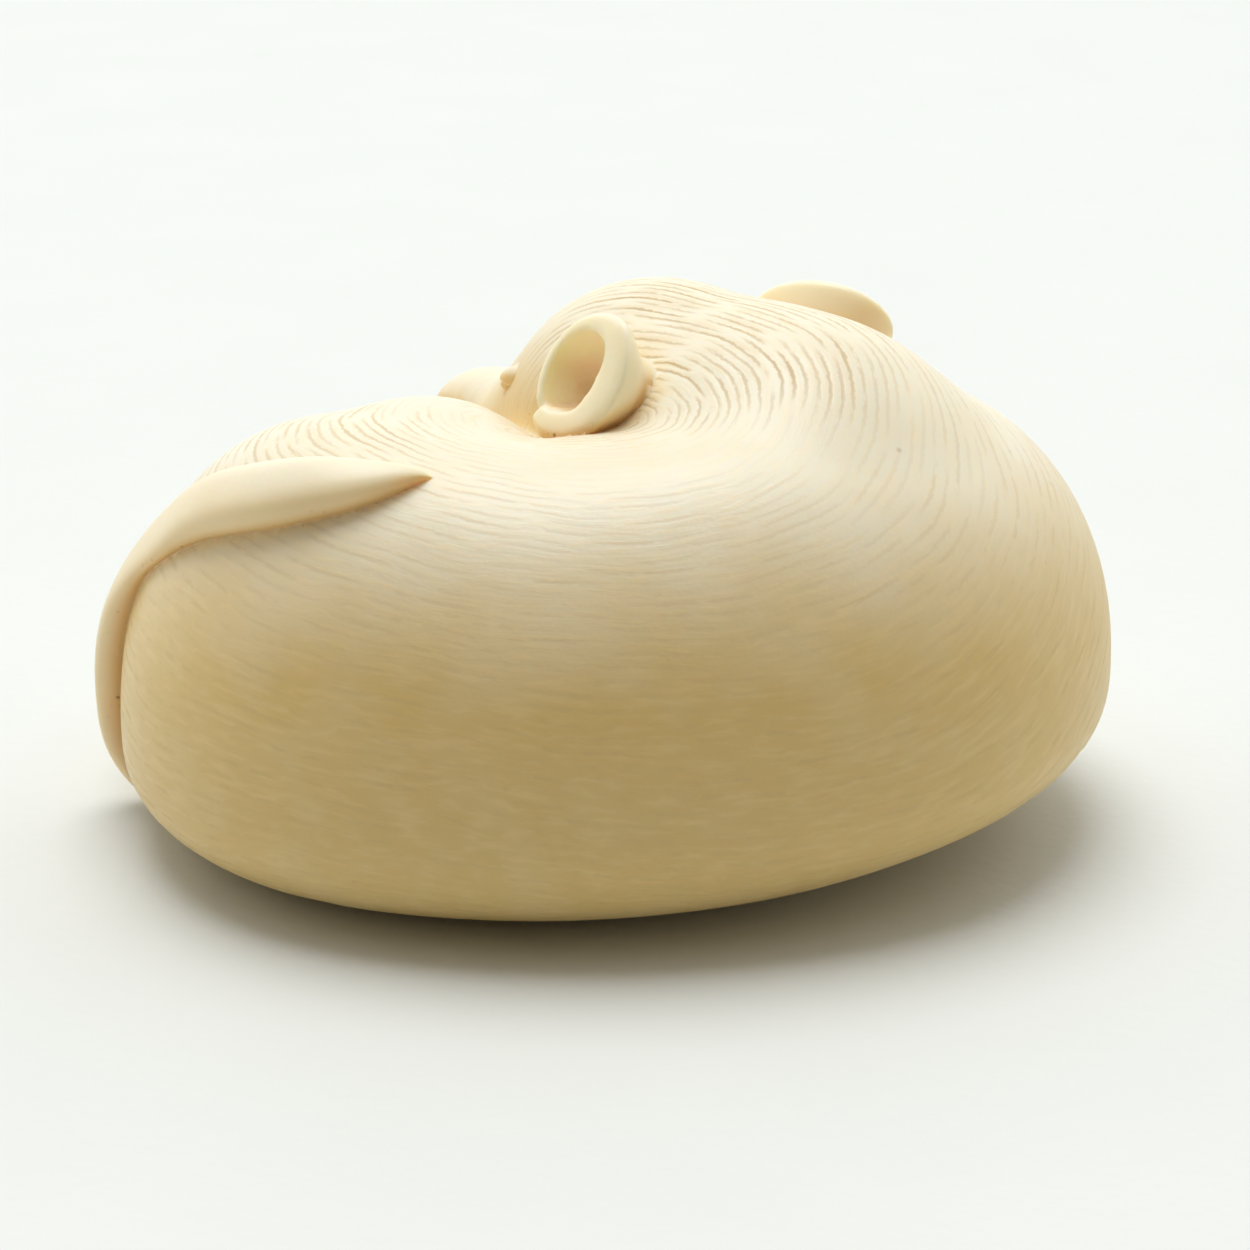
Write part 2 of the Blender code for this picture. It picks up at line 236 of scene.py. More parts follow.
def rump(points):
    """The trunk with the belly filled in and the rounded thigh on the far left."""
    belly = ellipsoid(points, (-1.0, 6.0, 7.5), (11.0, 9.5, 10.4))
    thigh = ellipsoid(points, (-12.2, 9.4, 8.0), (9.9, 8.8, 9.6))
    loin = ellipsoid(points, (-8.0, -0.8, 14.0), (6.4, 6.0, 8.0))
    filled = smooth_join(trunk(points), loin, 2.0)
    filled = smooth_join(filled, belly, 2.0)
    return smooth_join(filled, thigh, 1.6)


def head(points):
    """Skull, neck, cheeks, muzzle and chin, which point back over the far side and rest on the flank."""
    skull = ellipsoid(points, HEAD, (8.2, 7.6, 7.7), HEAD_AXES)
    neck = ellipsoid(points, on_head(-7.0, 0.5, -1.5), (8.0, 7.2, 7.5), HEAD_AXES)
    face = ellipsoid(points, on_head(6.0, 0.0, -1.2), (5.4, 5.0, 4.6), HEAD_AXES)
    muzzle = ellipsoid(points, on_head(11.0, 0.0, 0.15), (3.6, 2.6, 2.55), HEAD_AXES)
    chin = ellipsoid(points, on_head(6.5, 0.0, -3.8), (6.4, 3.2, 3.4), HEAD_AXES)
    shape = smooth_join(skull, neck, 3.0)
    shape = smooth_join(shape, face, 2.2)
    shape = smooth_join(shape, chin, 1.6)
    return smooth_join(shape, muzzle, 0.9)


def body(points):
    """How far each point lies outside the mouse, in grid squares. It is negative inside."""
    behind = (points - HEAD) @ AHEAD
    blend = THROAT_FILLET + (NAPE_FILLET - THROAT_FILLET) * smooth_step(2.0, -7.0, behind)
    return smooth_join(rump(points), head(points), blend)


print("the heart lies", round(-float(body(HEART[None])[0]), 1), "squares deep")

# %% [markdown]
# ## Finding the surface
#
# From the heart of the block a ray goes out in every direction, and the skin is where the ray leaves
# the last swelling. A slow search steps in from outside. A quick one starts from a good guess and
# closes in on the skin with straight-line steps, so it can be afforded for very many rays.

# %% Close in on the skin
QUICK_STEPS = 7


def close_in(directions, near, far):
    """Where each ray leaves the body between near, which is inside it, and far, which is outside."""
    inner = body(HEART + near[:, None] * directions)
    outer = body(HEART + far[:, None] * directions)
    for _ in range(QUICK_STEPS):
        middle = near - inner * (far - near) / (outer - inner)
        value = body(HEART + middle[:, None] * directions)
        inside = value < 0
        outer = np.where(inside, outer / 2, value)
        inner = np.where(inside, value, inner / 2)
        near = np.where(inside, middle, near)
        far = np.where(inside, far, middle)
    return near - inner * (far - near) / (outer - inner)


print("the search closes in with", QUICK_STEPS, "steps")

# %% Slow and quick search
REACH_IN = 2.0
REACH_OUT = 36.0
COARSE_STEPS = 90
QUICK_REACH = 0.9


def slow_reach(directions):
    """How far the body reaches along each ray from the heart, found from outside."""
    near = np.full(len(directions), REACH_IN)
    far = np.full(len(directions), REACH_OUT)
    found = np.zeros(len(directions), bool)
    for distance in np.linspace(REACH_OUT, REACH_IN, COARSE_STEPS):
        open_rays = np.flatnonzero(~found)
        hit = open_rays[body(HEART + distance * directions[open_rays]) < 0]
        near[hit] = distance
        found[hit] = True
        far[~found] = distance
    return close_in(directions, near, far)


def quick_reach(directions, guess):
    """The same from a guess. Rays whose guess is off are searched again the slow way."""
    near = guess - QUICK_REACH
    far = guess + QUICK_REACH
    good = body(HEART + near[:, None] * directions) < 0
    good &= body(HEART + far[:, None] * directions) > 0
    reach = np.empty(len(directions))
    reach[good] = close_in(directions[good], near[good], far[good])
    reach[~good] = slow_reach(directions[~good])
    return reach


print("the slow search takes steps of", round((REACH_OUT - REACH_IN) / (COARSE_STEPS - 1), 2), "squares")

# %% Where the surface is, and the way it faces


def facing(points, step=0.05):
    """The outward direction of the body's surface at each point, on the grid."""
    slopes = [body(points + step * axis) - body(points - step * axis) for axis in np.eye(3)]
    return unit_rows(np.stack(slopes, axis=1))


def surface(aims):
    """Where rays from the heart towards each place leave the body."""
    directions = unit_rows(aims - HEART)
    return HEART + slow_reach(directions)[:, None] * directions


print("straight above the heart the skin lies at", np.round(surface(HEART[None] + (0, 0, 1))[0], 1))

# %% [markdown]
# ## The ovals that the fur follows
#
# On the real carving the strokes start beside the near ear and run round it in wider and wider ovals.
# The mesh takes the same ovals for its rows, so that a stroke is never cut across by the facets. A
# first, coarse round of rays measures how long the way from the ear is on every side. Then the rows
# are laid at an even pitch along it, and rows that run off below the underside are sawn away later.

# %% Ovals round the near ear
PARTING = np.array([-1.4, -3.0, 0.0])
PARTING_LIES = unit((1.0, -0.25))
PARTING_HALF_LENGTH = 1.8
PARTING_RISE = 10.0
PARTING_FADE = 1.5


def oval_directions(down, around):
    """Directions from the heart, laid in ovals: down from 0 at the parting to pi, around in radians."""
    share = ((1 + np.cos(down)) / 2) ** PARTING_FADE
    long_way = np.hypot(np.sin(down), share * PARTING_HALF_LENGTH / PARTING_RISE)
    crosswise = np.array([-PARTING_LIES[1], PARTING_LIES[0]])
    plan = (long_way * np.cos(around))[:, None] * PARTING_LIES
    plan += (np.sin(down) * np.sin(around))[:, None] * crosswise
    plan += share[:, None] * PARTING[:2] / PARTING_RISE
    return unit_rows(np.column_stack([plan, np.cos(down)]))


print("the ovals start round a slit of", 2 * PARTING_HALF_LENGTH, "squares")

# %% A coarse round of rays
COARSE_DOWN = 64
COARSE_AROUND = 72
coarse_downs = np.linspace(0.02, math.pi - 0.2, COARSE_DOWN)
coarse_arounds = np.linspace(0, 2 * math.pi, COARSE_AROUND, endpoint=False)
coarse_down_grid, coarse_around_grid = np.meshgrid(coarse_downs, coarse_arounds, indexing="ij")
coarse_directions = oval_directions(coarse_down_grid.ravel(), coarse_around_grid.ravel())
coarse_reach = slow_reach(coarse_directions).reshape(COARSE_DOWN, COARSE_AROUND)
print("coarse rays:", coarse_reach.size, so_far())

# %% [markdown]
# Where the head hangs over the flank, the rays' lengths jump, and rows laid along such a jump would
# kink. So the table is softened before the way along it is added up. The ovals are longer than they are
# wide, and the way counts for less towards their ends.

# %% Measure the way from the ear
SOFTENINGS = 30
LONG_OVALS = 0.85


def softened(table, passes):
    """The table with its jumps spread out, so that the rows don't kink beside a fold."""
    for _ in range(passes):
        table = (np.roll(table, 1, axis=1) + 2 * table + np.roll(table, -1, axis=1)) / 4
        padded = np.pad(table, ((1, 1), (0, 0)), mode="edge")
        table = (padded[:-2] + 2 * table + padded[2:]) / 4
    return table


soft_reach = softened(coarse_reach, SOFTENINGS).reshape(-1, 1)
soft_places = (HEART + soft_reach * coarse_directions).reshape(COARSE_DOWN, COARSE_AROUND, 3)
steps = np.linalg.norm(np.diff(soft_places, axis=0), axis=2)
way = np.vstack([np.zeros(COARSE_AROUND), np.cumsum(steps, axis=0)])
way *= np.hypot(LONG_OVALS * np.cos(coarse_arounds), np.sin(coarse_arounds))
print("the way from the ear to the underside's middle:", np.round((way[-1].min(), way[-1].max()), 1))

# %% [markdown]
# ## The strokes of the fur
#
# Each lane between two ovals carries one line of strokes. A stroke is a shallow cut, two to six
# millimetres long, that drifts a little across its lane and starts and ends in nothing. The strokes are
# cut with the mesh itself: three rows of points go to a lane, and the middle one is pushed in. Every
# lane starts at a side of its own, because gaps in one line would show as a parting. The dice are
# seeded, so that every run cuts the same strokes.

# %% Sizes of the strokes
# A stroke's shape is pairs: a share of its length, and how strong the cut is there.
LANES = 112
PITCH_AT_THE_EAR = 0.42
PITCH_BELOW = 0.66
LANES_THAT_WIDEN = (12, 44)
GROOVE_ROW = 0.5
ROWS_IN_A_LANE = (0.33, GROOVE_ROW, 0.67)
ROUND_THE_BODY = 300
STROKE_LENGTHS = (2.2, 6.5)
STROKE_GAPS = (0.05, 0.5)
STROKE_DRIFT = 0.2
STROKE_SHAPE = ((0.0, 0.0), (0.12, 0.8), (0.5, 1.0), (0.85, 0.7), (1.0, 0.0))
GIRTH_AT_THE_EAR = 10
GIRTH_BELOW = 155
DICE_SEED = 7
print("a stroke is", STROKE_LENGTHS[0], "to", STROKE_LENGTHS[1], "squares long")

# %% Lay the strokes along the lanes
dice = np.random.default_rng(DICE_SEED)
arounds = np.linspace(0, 2 * math.pi, ROUND_THE_BODY, endpoint=False)


def lay_strokes(girth):
    """How strong the cut is, and how far it has drifted, at every meridian of one lane."""
    turn = dice.integers(ROUND_THE_BODY)
    places, strengths, drifts = [0.0], [0.0], [0.0]
    along = dice.uniform(0, STROKE_GAPS[1])
    while along < girth - STROKE_LENGTHS[0]:
        length = min(dice.uniform(*STROKE_LENGTHS), girth - along)
        strength = dice.uniform(0.5, 1.0)
        lean = dice.uniform(0.3, 1.0) * STROKE_DRIFT
        for share, cut in STROKE_SHAPE:
            places.append(along + share * length)
            strengths.append(strength * cut)
            drifts.append(lean * (2 * share - 1))
        along += length + dice.uniform(*STROKE_GAPS)
    places.append(girth)
    strengths.append(0.0)
    drifts.append(0.0)
    here = np.roll(arounds, turn) / (2 * math.pi) * girth
    return np.interp(here, places, strengths), np.interp(here, places, drifts)


lanes = np.arange(LANES + 1)
pitches = PITCH_AT_THE_EAR + (PITCH_BELOW - PITCH_AT_THE_EAR) * smooth_step(*LANES_THAT_WIDEN, lanes)
lane_ways = np.cumsum(pitches) - pitches[0]
girths = GIRTH_AT_THE_EAR + (GIRTH_BELOW - GIRTH_AT_THE_EAR) * smooth_step(-10, 45, lane_ways[:-1])
laid = [lay_strokes(girth) for girth in girths]
stroke_strength = np.array([strength for strength, drift in laid])
stroke_drift = np.array([drift for strength, drift in laid])
print(LANES, "lanes, the last", round(lane_ways[-1], 1), "squares from the ear")

# %% [markdown]
# A hand-cut line is never quite even, so the lanes waver slowly. Then each row of points gets its place
# along the way from the ear, and from that its direction from the heart. The coarse round of rays also
# gives each point a good guess of how far away the skin is.

# %% Let the lanes waver
# Each wave: waves round the body, its shift from lane to lane, its start, and its share.
WAVES = ((3, 0.21, 1.0, 0.5), (8, -0.27, 4.0, 0.35), (17, 0.43, 2.0, 0.25))
LANE_WAVER = 0.3
row_lane = np.repeat(np.arange(LANES), len(ROWS_IN_A_LANE))
row_share = np.tile(ROWS_IN_A_LANE, LANES)


def waver(lane, around):
    """The slow wandering of the lanes, in lanes."""
    waves = (part * np.sin(turns * around + shift * lane + start) for turns, shift, start, part in WAVES)
    return LANE_WAVER * sum(waves)


lane_grid = (row_lane + row_share)[:, None] + stroke_drift[row_lane]
lane_grid += waver(lane_grid, arounds[None, :]) * smooth_step(0, 6, lane_grid)
print("the mesh has", lane_grid.size, "places")

# %% Place every row
SLIDE_BELOW = 9
around_place = np.arange(ROUND_THE_BODY) * COARSE_AROUND / ROUND_THE_BODY
side_before = around_place.astype(int)
side_after = (side_before + 1) % COARSE_AROUND
side_share = around_place - side_before


def between_sides(table):
    """A coarse table's columns, read at the fine meridians."""
    return table[:, side_before] * (1 - side_share) + table[:, side_after] * side_share


fine_way = between_sides(way)
fine_reach = between_sides(coarse_reach)
down_grid = np.empty(lane_grid.shape)
guess_grid = np.empty(lane_grid.shape)
for side in range(ROUND_THE_BODY):
    target = np.interp(lane_grid[:, side], lanes, lane_ways)
    down = np.interp(target, fine_way[:, side], coarse_downs)
    beyond = np.maximum(target - fine_way[-1, side], 0)
    down_grid[:, side] = down + (math.pi - coarse_downs[-1]) * (1 - np.exp(-beyond / SLIDE_BELOW))
    guess_grid[:, side] = np.interp(down, coarse_downs, fine_reach[:, side])
around_grid = np.broadcast_to(arounds, down_grid.shape)
print("rows:", len(down_grid), "of", ROUND_THE_BODY, "points", so_far())

# %% [markdown]
# Now the fine rays go out, one for every point of the mesh. Those that end well below the table aren't
# searched for, because the saw takes that part off anyway.

# %% Send out the fine rays
UNDERGROUND = -1.5
LOWEST = -2.0
directions = oval_directions(down_grid.ravel(), around_grid.ravel())
reach = guess_grid.ravel().copy()
under = HEART[2] + reach * directions[:, 2] < UNDERGROUND
reach[under] = (LOWEST - HEART[2]) / directions[under, 2]
reach[~under] = quick_reach(directions[~under], reach[~under])
ground = HEART + reach[:, None] * directions
normals = np.tile((0.0, 0.0, -1.0), (len(ground), 1))
normals[~under] = facing(ground[~under])
print("fine rays:", int((~under).sum()), so_far())

# %% [markdown]
# Under the chin a ray jumps from the flank to the head, and facets drawn across the jump would stand up
# in torn steps. The points beside a jump are averaged with their neighbours a few times, which leaves a
# soft crease, as a file would.

# %% Ease the overhangs
JUMP = 0.45
JUMP_MARGIN = 3
UNDER_THE_EYES = -0.8
EASINGS = 10
shape = down_grid.shape
reach_grid = reach.reshape(shape)
jump = np.abs(reach_grid - np.roll(reach_grid, 1, axis=1))
jump[1:] = np.maximum(jump[1:], np.abs(np.diff(reach_grid, axis=0)))
rough = (jump > JUMP) & ~under.reshape(shape)
for _ in range(JUMP_MARGIN):
    rough |= np.roll(rough, 1, axis=1) | np.roll(rough, -1, axis=1)
    rough[1:] |= rough[:-1]
    rough[:-1] |= rough[1:]
rough &= ((ground - HEAD) @ UP < UNDER_THE_EYES).reshape(shape)
eased = ground.reshape(*shape, 3).copy()
for _ in range(EASINGS):
    beside_it = (np.roll(eased, 1, axis=1) + np.roll(eased, -1, axis=1)) / 2
    padded = np.pad(eased, ((1, 1), (0, 0), (0, 0)), mode="edge")
    average = (beside_it + (padded[:-2] + padded[2:]) / 2) / 2
    eased[rough] = average[rough]
ground = eased.reshape(-1, 3)
print("points eased beside a jump:", int(rough.sum()))

# %% [markdown]
# The cuts are bold on the head, beside the ears and on top of the rump, and faint on the shaded side of
# the body. They are missing in the rubbed fold beside the near ear and on the muzzle. The same mask
# later colours them, because the brown in a cut is dirt and old polish, and more of it stays in a deep
# one.

# %% Where the strokes are bold
BOLD_SPOTS = ((-3.0, -2.0, 27.0), (6.0, 1.0, 26.0), (-13.0, -2.0, 22.0))
BOLD_FADES = (11.5, 4.5)
FOLD = (
    (-8.2, -1.8, 22.0),
    (-6.3, -3.4, 22.3),
    (-4.2, -7.2, 22.0),
    (-0.5, -9.6, 21.8),
    (4.5, -9.4, 22.2),
    (9.0, -8.0, 22.5),
)
FOLD_WIDTH = 2.7


def beside(points, route):
    """The distance from each point to the nearest of a route's points."""
    line = through(route, 30)
    return np.sqrt(((points[:, None] - line[None]) ** 2).sum(axis=2).min(axis=1))


lift = smooth_step(0.1, 0.85, normals[:, 2])
nearest_spot = np.min([np.linalg.norm(ground - spot, axis=1) for spot in np.array(BOLD_SPOTS)], axis=0)
bold = smooth_step(*BOLD_FADES, nearest_spot) * lift * (1 - 0.3 * smooth_step(-6.0, -9.0, ground[:, 0]))
brown = 0.28 + 0.72 * bold
smooth_fold = 1 - 0.85 * np.exp(-((beside(ground, FOLD) / FOLD_WIDTH) ** 2))
on_face = smooth_step(2.0, 6.5, (ground - HEAD) @ AHEAD) * smooth_step(1.2, 0.2, head(ground))
near_base = smooth_step(0.2, 2.0, ground[:, 2])
fur_zone = smooth_fold * (1 - on_face) * near_base
print("share of the skin with bold strokes:", round(float((bold * fur_zone > 0.5).mean()), 2))

# %% Cut the strokes and the mouth
STROKE_DEPTH = 0.036
MOUTH = ((13.6, 0.9, -0.5), (12.2, 1.9, -1.1), (10.6, 2.6, -1.5), (8.8, 3.4, -1.6), (7.6, 4.0, -1.2))
MOUTH_WIDTH = 0.32
MOUTH_DEPTH = 0.3
strength = (stroke_strength[row_lane] * fur_zone.reshape(down_grid.shape)).ravel()
groove = np.repeat(row_share == GROOVE_ROW, ROUND_THE_BODY)
cut = STROKE_DEPTH * strength * groove * (0.15 + 0.85 * bold)
for side in (-1, 1):
    mouth = surface(np.array([on_head(ahead, side * right, up) for ahead, right, up in MOUTH]))
    cut = cut + MOUTH_DEPTH * np.exp(-((beside(ground, mouth) / MOUTH_WIDTH) ** 2))
ground = ground - cut[:, None] * normals
print("the deepest cut is", round(STROKE_DEPTH * strength.max(), 3), "squares deep")

# %% [markdown]
# The material needs to know the way the fur runs. Each point gets a place on a flat ring, as if the
# ovals were pulled out into circles, and its lane for a height. Noise that reads this place in stretched
# form makes streaks along the fur.

# %% The flow of the fur
FLOW_START = 4
FLOW_SPREAD = 0.9
flow_radius = lane_ways[row_lane][:, None] * FLOW_SPREAD + FLOW_START
lane_here = np.broadcast_to((row_lane + row_share)[:, None], around_grid.shape)
flow = np.stack([flow_radius * np.cos(around_grid), flow_radius * np.sin(around_grid), lane_here], axis=2)
flow = flow.reshape(-1, 3)
print("the flow's outermost ring:", round(float(flow_radius.max()), 1))

# %% [markdown]
# The skin of the real mouse has no seam. A ball of facets is laid out just as the rays are, with a row
# of points for each oval and a column for each side, so its points only have to move onto the body, and
# no list of facets is written. The slit in the middle of the ovals is sewn up. Below the table the form
# goes on for two millimetres, for the saw to take off.

# %% Sew up the parting


def sew_parting(form, around):
    """Closes the slit at the top of the ovals: its two lips are sewn together, point by point."""
    form.verts.ensure_lookup_table()
    pole = max(form.verts, key=lambda vertex: vertex.co.z)
    ring = [edge.other_vert(pole) for edge in pole.link_edges]
    ring.sort(key=lambda vertex: math.atan2(vertex.co.y, vertex.co.x) % (2 * math.pi))
    form.verts.remove(pole)
    half = around // 2
    form.faces.new((ring[0], ring[1], ring[-1]))
    for step in range(1, half - 1):
        form.faces.new((ring[step], ring[step + 1], ring[-step - 1], ring[-step]))
    form.faces.new((ring[half - 1], ring[half], ring[half + 1]))


print("the seam in the parting joins", ROUND_THE_BODY // 2 - 1, "pairs of points")

# %% Build the body
SAW_WASTE = 2 * MM


def carve_body():
    """The ball of facets, moved onto the body's skin."""
    rows, around = down_grid.shape
    form = bmesh.new()
    bmesh.ops.create_uvsphere(form, u_segments=around, v_segments=rows + 1, radius=1)
    sew_parting(form, around)
    places = off_grid(ground).reshape(rows, around, 3)
    for vertex in form.verts:
        row = round(math.acos(max(-1.0, min(1.0, vertex.co.z))) / math.pi * (rows + 1)) - 1
        side = round(math.atan2(vertex.co.y, vertex.co.x) / (2 * math.pi) * around) % around
        if row < rows:
            vertex.co = places[row, side]
        else:
            vertex.co = (0.0, 0.0, -SAW_WASTE)
    bmesh.ops.recalc_face_normals(form, faces=form.faces)
    return form


def as_object(name, form):
    """The finished form as an object of its own, at the origin."""
    mesh = bpy.data.meshes.new(name)
    form.to_mesh(mesh)
    form.free()
    mesh.shade_smooth()
    thing = bpy.data.objects.new(name, mesh)
    bpy.context.scene.collection.objects.link(thing)
    return thing


carving = as_object("carved_mouse", carve_body())
print("body facets:", len(carving.data.polygons), so_far())

# %% [markdown]
# ## The ears
#
# An ear is a small open cup with a thick, softly rounded rim. Half of its section is drawn as a line and
# spun round the cup's axis. The rim of the real near ear is broad at the back and thin in front, where
# its end curls in below a little notch, and a turned cup can't show that. So after the spin the inner
# wall is moved towards the middle, more at some sides than at others. The far ear shows only its back
# and stays a plain cup.

# %% Sizes of the ears
# Each ear: the place of its root in squares, and the way it opens, both along the head's own axes.
# The rim of the near ear is told side by side, in degrees counted from its front.
EAR_WIDTH = 6.2 * MM
EAR_WALL = 0.6 * MM
EAR_REACH = 3.2 * MM
NEAR_HOLLOW = 2.2 * MM
FAR_HOLLOW = 1.0 * MM
NEAR_EAR = ((-3.15, -6.2, 2.95), (0.2, -0.86, 0.45))
FAR_EAR = ((-4.4, 6.65, 2.3), (0.15, 0.75, 0.62))
ROUND_AN_EAR = 96
EAR_SWELLS_AT = (0.15, 0.55, 0.88)
EAR_SWELL = (0.70, 0.88, 1.0)
RIM_SIDES = (0, 24, 36, 60, 90, 135, 180, 225, 270, 315, 360)
RIM_THICK = np.array([0.0, 0.0, 0.5, 1.0, 1.25, 1.5, 1.5, 1.0, 0.3, 0.05, 0.0]) * MM
RIM_SPREAD = np.array([-0.15, 0.0, 0.25, 0.25, 0.15, 0.0, 0.1, 0.55, 0.1, -0.1, -0.15]) * MM
RIM_RISE = np.array([0.0, -0.12, 0.1, 0.12, 0.0, 0.0, 0.0, 0.1, 0.05, 0.0, 0.0]) * MM
NOTCH_SIDE = 29.0
NOTCH_WIDTH = 5.0
NOTCH_DEPTH = 0.3 * MM
print("an ear is", round(EAR_WIDTH / MM, 1), "mm wide and its wall", round(EAR_WALL / MM, 1), "mm thick")

# %% Section of an ear


def ear_profile(hollow):
    """Half the section of an ear, from the root up the outside, over the rim and down the hollow."""
    rim = EAR_WIDTH / 2
    root = -0.9 * EAR_REACH
    lip = EAR_WALL / 2
    outside = [(swell * rim, at * EAR_REACH) for at, swell in zip(EAR_SWELLS_AT, EAR_SWELL)]
    stations = (
        (0.62 * rim, root),
        *outside,
        (rim - 0.3 * lip, EAR_REACH),
        (rim - lip, EAR_REACH + 0.3 * lip),
        (rim - 1.7 * lip, EAR_REACH),
        (rim - 2.1 * lip, 0.85 * EAR_REACH),
        (rim - 3.6 * lip, EAR_REACH - 0.55 * hollow),
        (0.36 * rim, EAR_REACH - 0.92 * hollow),
        (0, EAR_REACH - hollow),
    )
    return [(0, root)] + through(stations, 44).tolist()


print("half an ear's section has", len(ear_profile(NEAR_HOLLOW)), "points")

# %% Rim of an ear


def shape_rim(form, thickness):
    """Thickens the rim towards the hollow side by side, and cuts the notch where its end curls in."""
    rim = EAR_WIDTH / 2
    for vertex in form.verts:
        radius = math.hypot(vertex.co.x, vertex.co.y)
        height = vertex.co.z
        if radius < 1e-7 or height < 0:
            continue
        side = math.degrees(math.atan2(vertex.co.y, vertex.co.x)) % 360
        outer = float(np.interp(height / EAR_REACH, EAR_SWELLS_AT, EAR_SWELL)) * rim
        inward = min(max((outer - radius) / EAR_WALL, 0.0), 1.0)
        near_rim = float(smooth_step(0.25, 0.95, height / EAR_REACH))
        thick = float(np.interp(side, RIM_SIDES, RIM_THICK)) * thickness
        spread = float(np.interp(side, RIM_SIDES, RIM_SPREAD)) * thickness
        new_radius = radius + near_rim * (spread - inward * min(thick, 0.6 * radius))
        rise = float(np.interp(side, RIM_SIDES, RIM_RISE)) * near_rim
        notch = math.exp(-(((side - NOTCH_SIDE) / NOTCH_WIDTH) ** 2)) * near_rim * NOTCH_DEPTH
        vertex.co.x *= new_radius / radius
        vertex.co.y *= new_radius / radius
        vertex.co.z += (rise - notch) * thickness


print("the rim is up to", round((EAR_WALL + RIM_THICK.max()) / MM, 1), "mm thick")

# %% Turn an ear


def ear_form(root_place, opening, hollow, stretch, thickness):
    """An ear rooted in the skull, leaning out to one side, stretched along the head by stretch."""
    form = bmesh.new()
    line = [form.verts.new((max(radius, 0), 0, height)) for radius, height in ear_profile(hollow)]
    edges = [form.edges.new(pair) for pair in zip(line, line[1:])]
    bmesh.ops.spin(
        form,
        geom=line + edges,
        cent=(0, 0, 0),
        axis=(0, 0, 1),
        angle=2 * math.pi,
        steps=ROUND_AN_EAR,
        use_merge=True,
    )
    bmesh.ops.remove_doubles(form, verts=form.verts, dist=1e-6)
    shape_rim(form, thickness)
    bmesh.ops.recalc_face_normals(form, faces=form.faces)
    bmesh.ops.scale(form, vec=(stretch, 1, 1), verts=form.verts)
    outward = unit(np.array(opening) @ HEAD_AXES)
    cup = Vector(outward)
    forward = Vector(unit(AHEAD - np.dot(AHEAD, outward) * outward))
    place = Vector(off_grid(on_head(*root_place)))
    turn = Matrix((forward, cup.cross(forward), cup)).transposed().to_4x4()
    bmesh.ops.transform(form, matrix=Matrix.Translation(place) @ turn, verts=form.verts)
    return form


print("an ear is spun in", ROUND_AN_EAR, "steps")

# %% [markdown]
# ## Tail and feet
#
# Tail, feet and toes are limbs that lie on the body. Rays find a path for each on the skin, a row of
# rings is set along the path, and each ring is bridged to the next. A bevelled curve would be quicker,
# but its section can't be pressed flat and sunk into the skin at one place and stand proud at another.

# %% Lay a limb on the body


def lay_on_body(route, samples):
    """A path on the mouse's surface beside the route, and the way out of the surface along it."""
    ground = surface(through(route, samples))
    return off_grid(ground), unit_rows(facing(ground) / SQUARE)


def taper_form(path, outward, half_widths, half_heights, depths, keel=1.0, sides=24):
    """A closed limb swept along a path, with an oval section that is rooted in the body to its depths."""
    form = bmesh.new()
    ahead = np.gradient(path, axis=0)
    before = []
    for place, along, out, half_width, half_height, depth in zip(
        path, ahead, outward, half_widths, half_heights, depths
    ):
        across = unit(np.cross(along, out))
        out = np.cross(across, unit(along))
        ring = bmesh.ops.create_circle(form, segments=sides, radius=1)["verts"]
        loop = list(dict.fromkeys(edge for vertex in ring for edge in vertex.link_edges))
        for vertex in ring:
            spread = math.copysign(abs(vertex.co.x) ** keel, vertex.co.x)
            rise = vertex.co.y * (half_height if vertex.co.y > 0 else depth)
            vertex.co = place + half_width * spread * across + rise * out
        if before:
            bmesh.ops.bridge_loops(form, edges=before + loop)
        before = loop
    bmesh.ops.holes_fill(form, edges=[edge for edge in form.edges if edge.is_boundary], sides=0)
    bmesh.ops.recalc_face_normals(form, faces=form.faces)
    return form


print("helpers for limbs: lay_on_body and taper_form")

# %% [markdown]
# The tail comes up beside the thigh and is drawn over the rump like a ribbon. It is narrow at its root,
# lies nearly flat where it turns, and is broad and low on top, where its blunt point sinks into the fur.

# %% Sizes of the tail
TAIL_WIDTH = 3.4 * MM
TAIL_RELIEF = 1.7 * MM
TAIL_TIP_LENGTH = 9 * MM
TAIL_ROUTE = (
    (-21.5, 2.4, 0.6),
    (-24.3, 2.3, 4.6),
    (-24.5, 1.1, 9.5),
    (-22.2, -1.1, 14.3),
    (-20.0, -4.3, 17.2),
    (-18.0, -6.4, 18.6),
    (-15.3, -8.5, 19.7),
    (-12.5, -9.65, 20.5),
    (-10.4, -10.0, 20.9),
    (-7.6, -9.9, 21.4),
)
TAIL_SAMPLES = 100
TAIL_ROOT = 0.45
TAIL_BLUNTNESS = 2.5
PRESSED = 0.6
PRESSED_AT = 0.51
PRESSED_LENGTH = 0.15
TIP_SINK = 0.2 * MM
TIP_SINK_LENGTH = 1.2 * MM
print("the tip of the tail is", round(TAIL_TIP_LENGTH / MM), "mm long")

# %% Form the tail


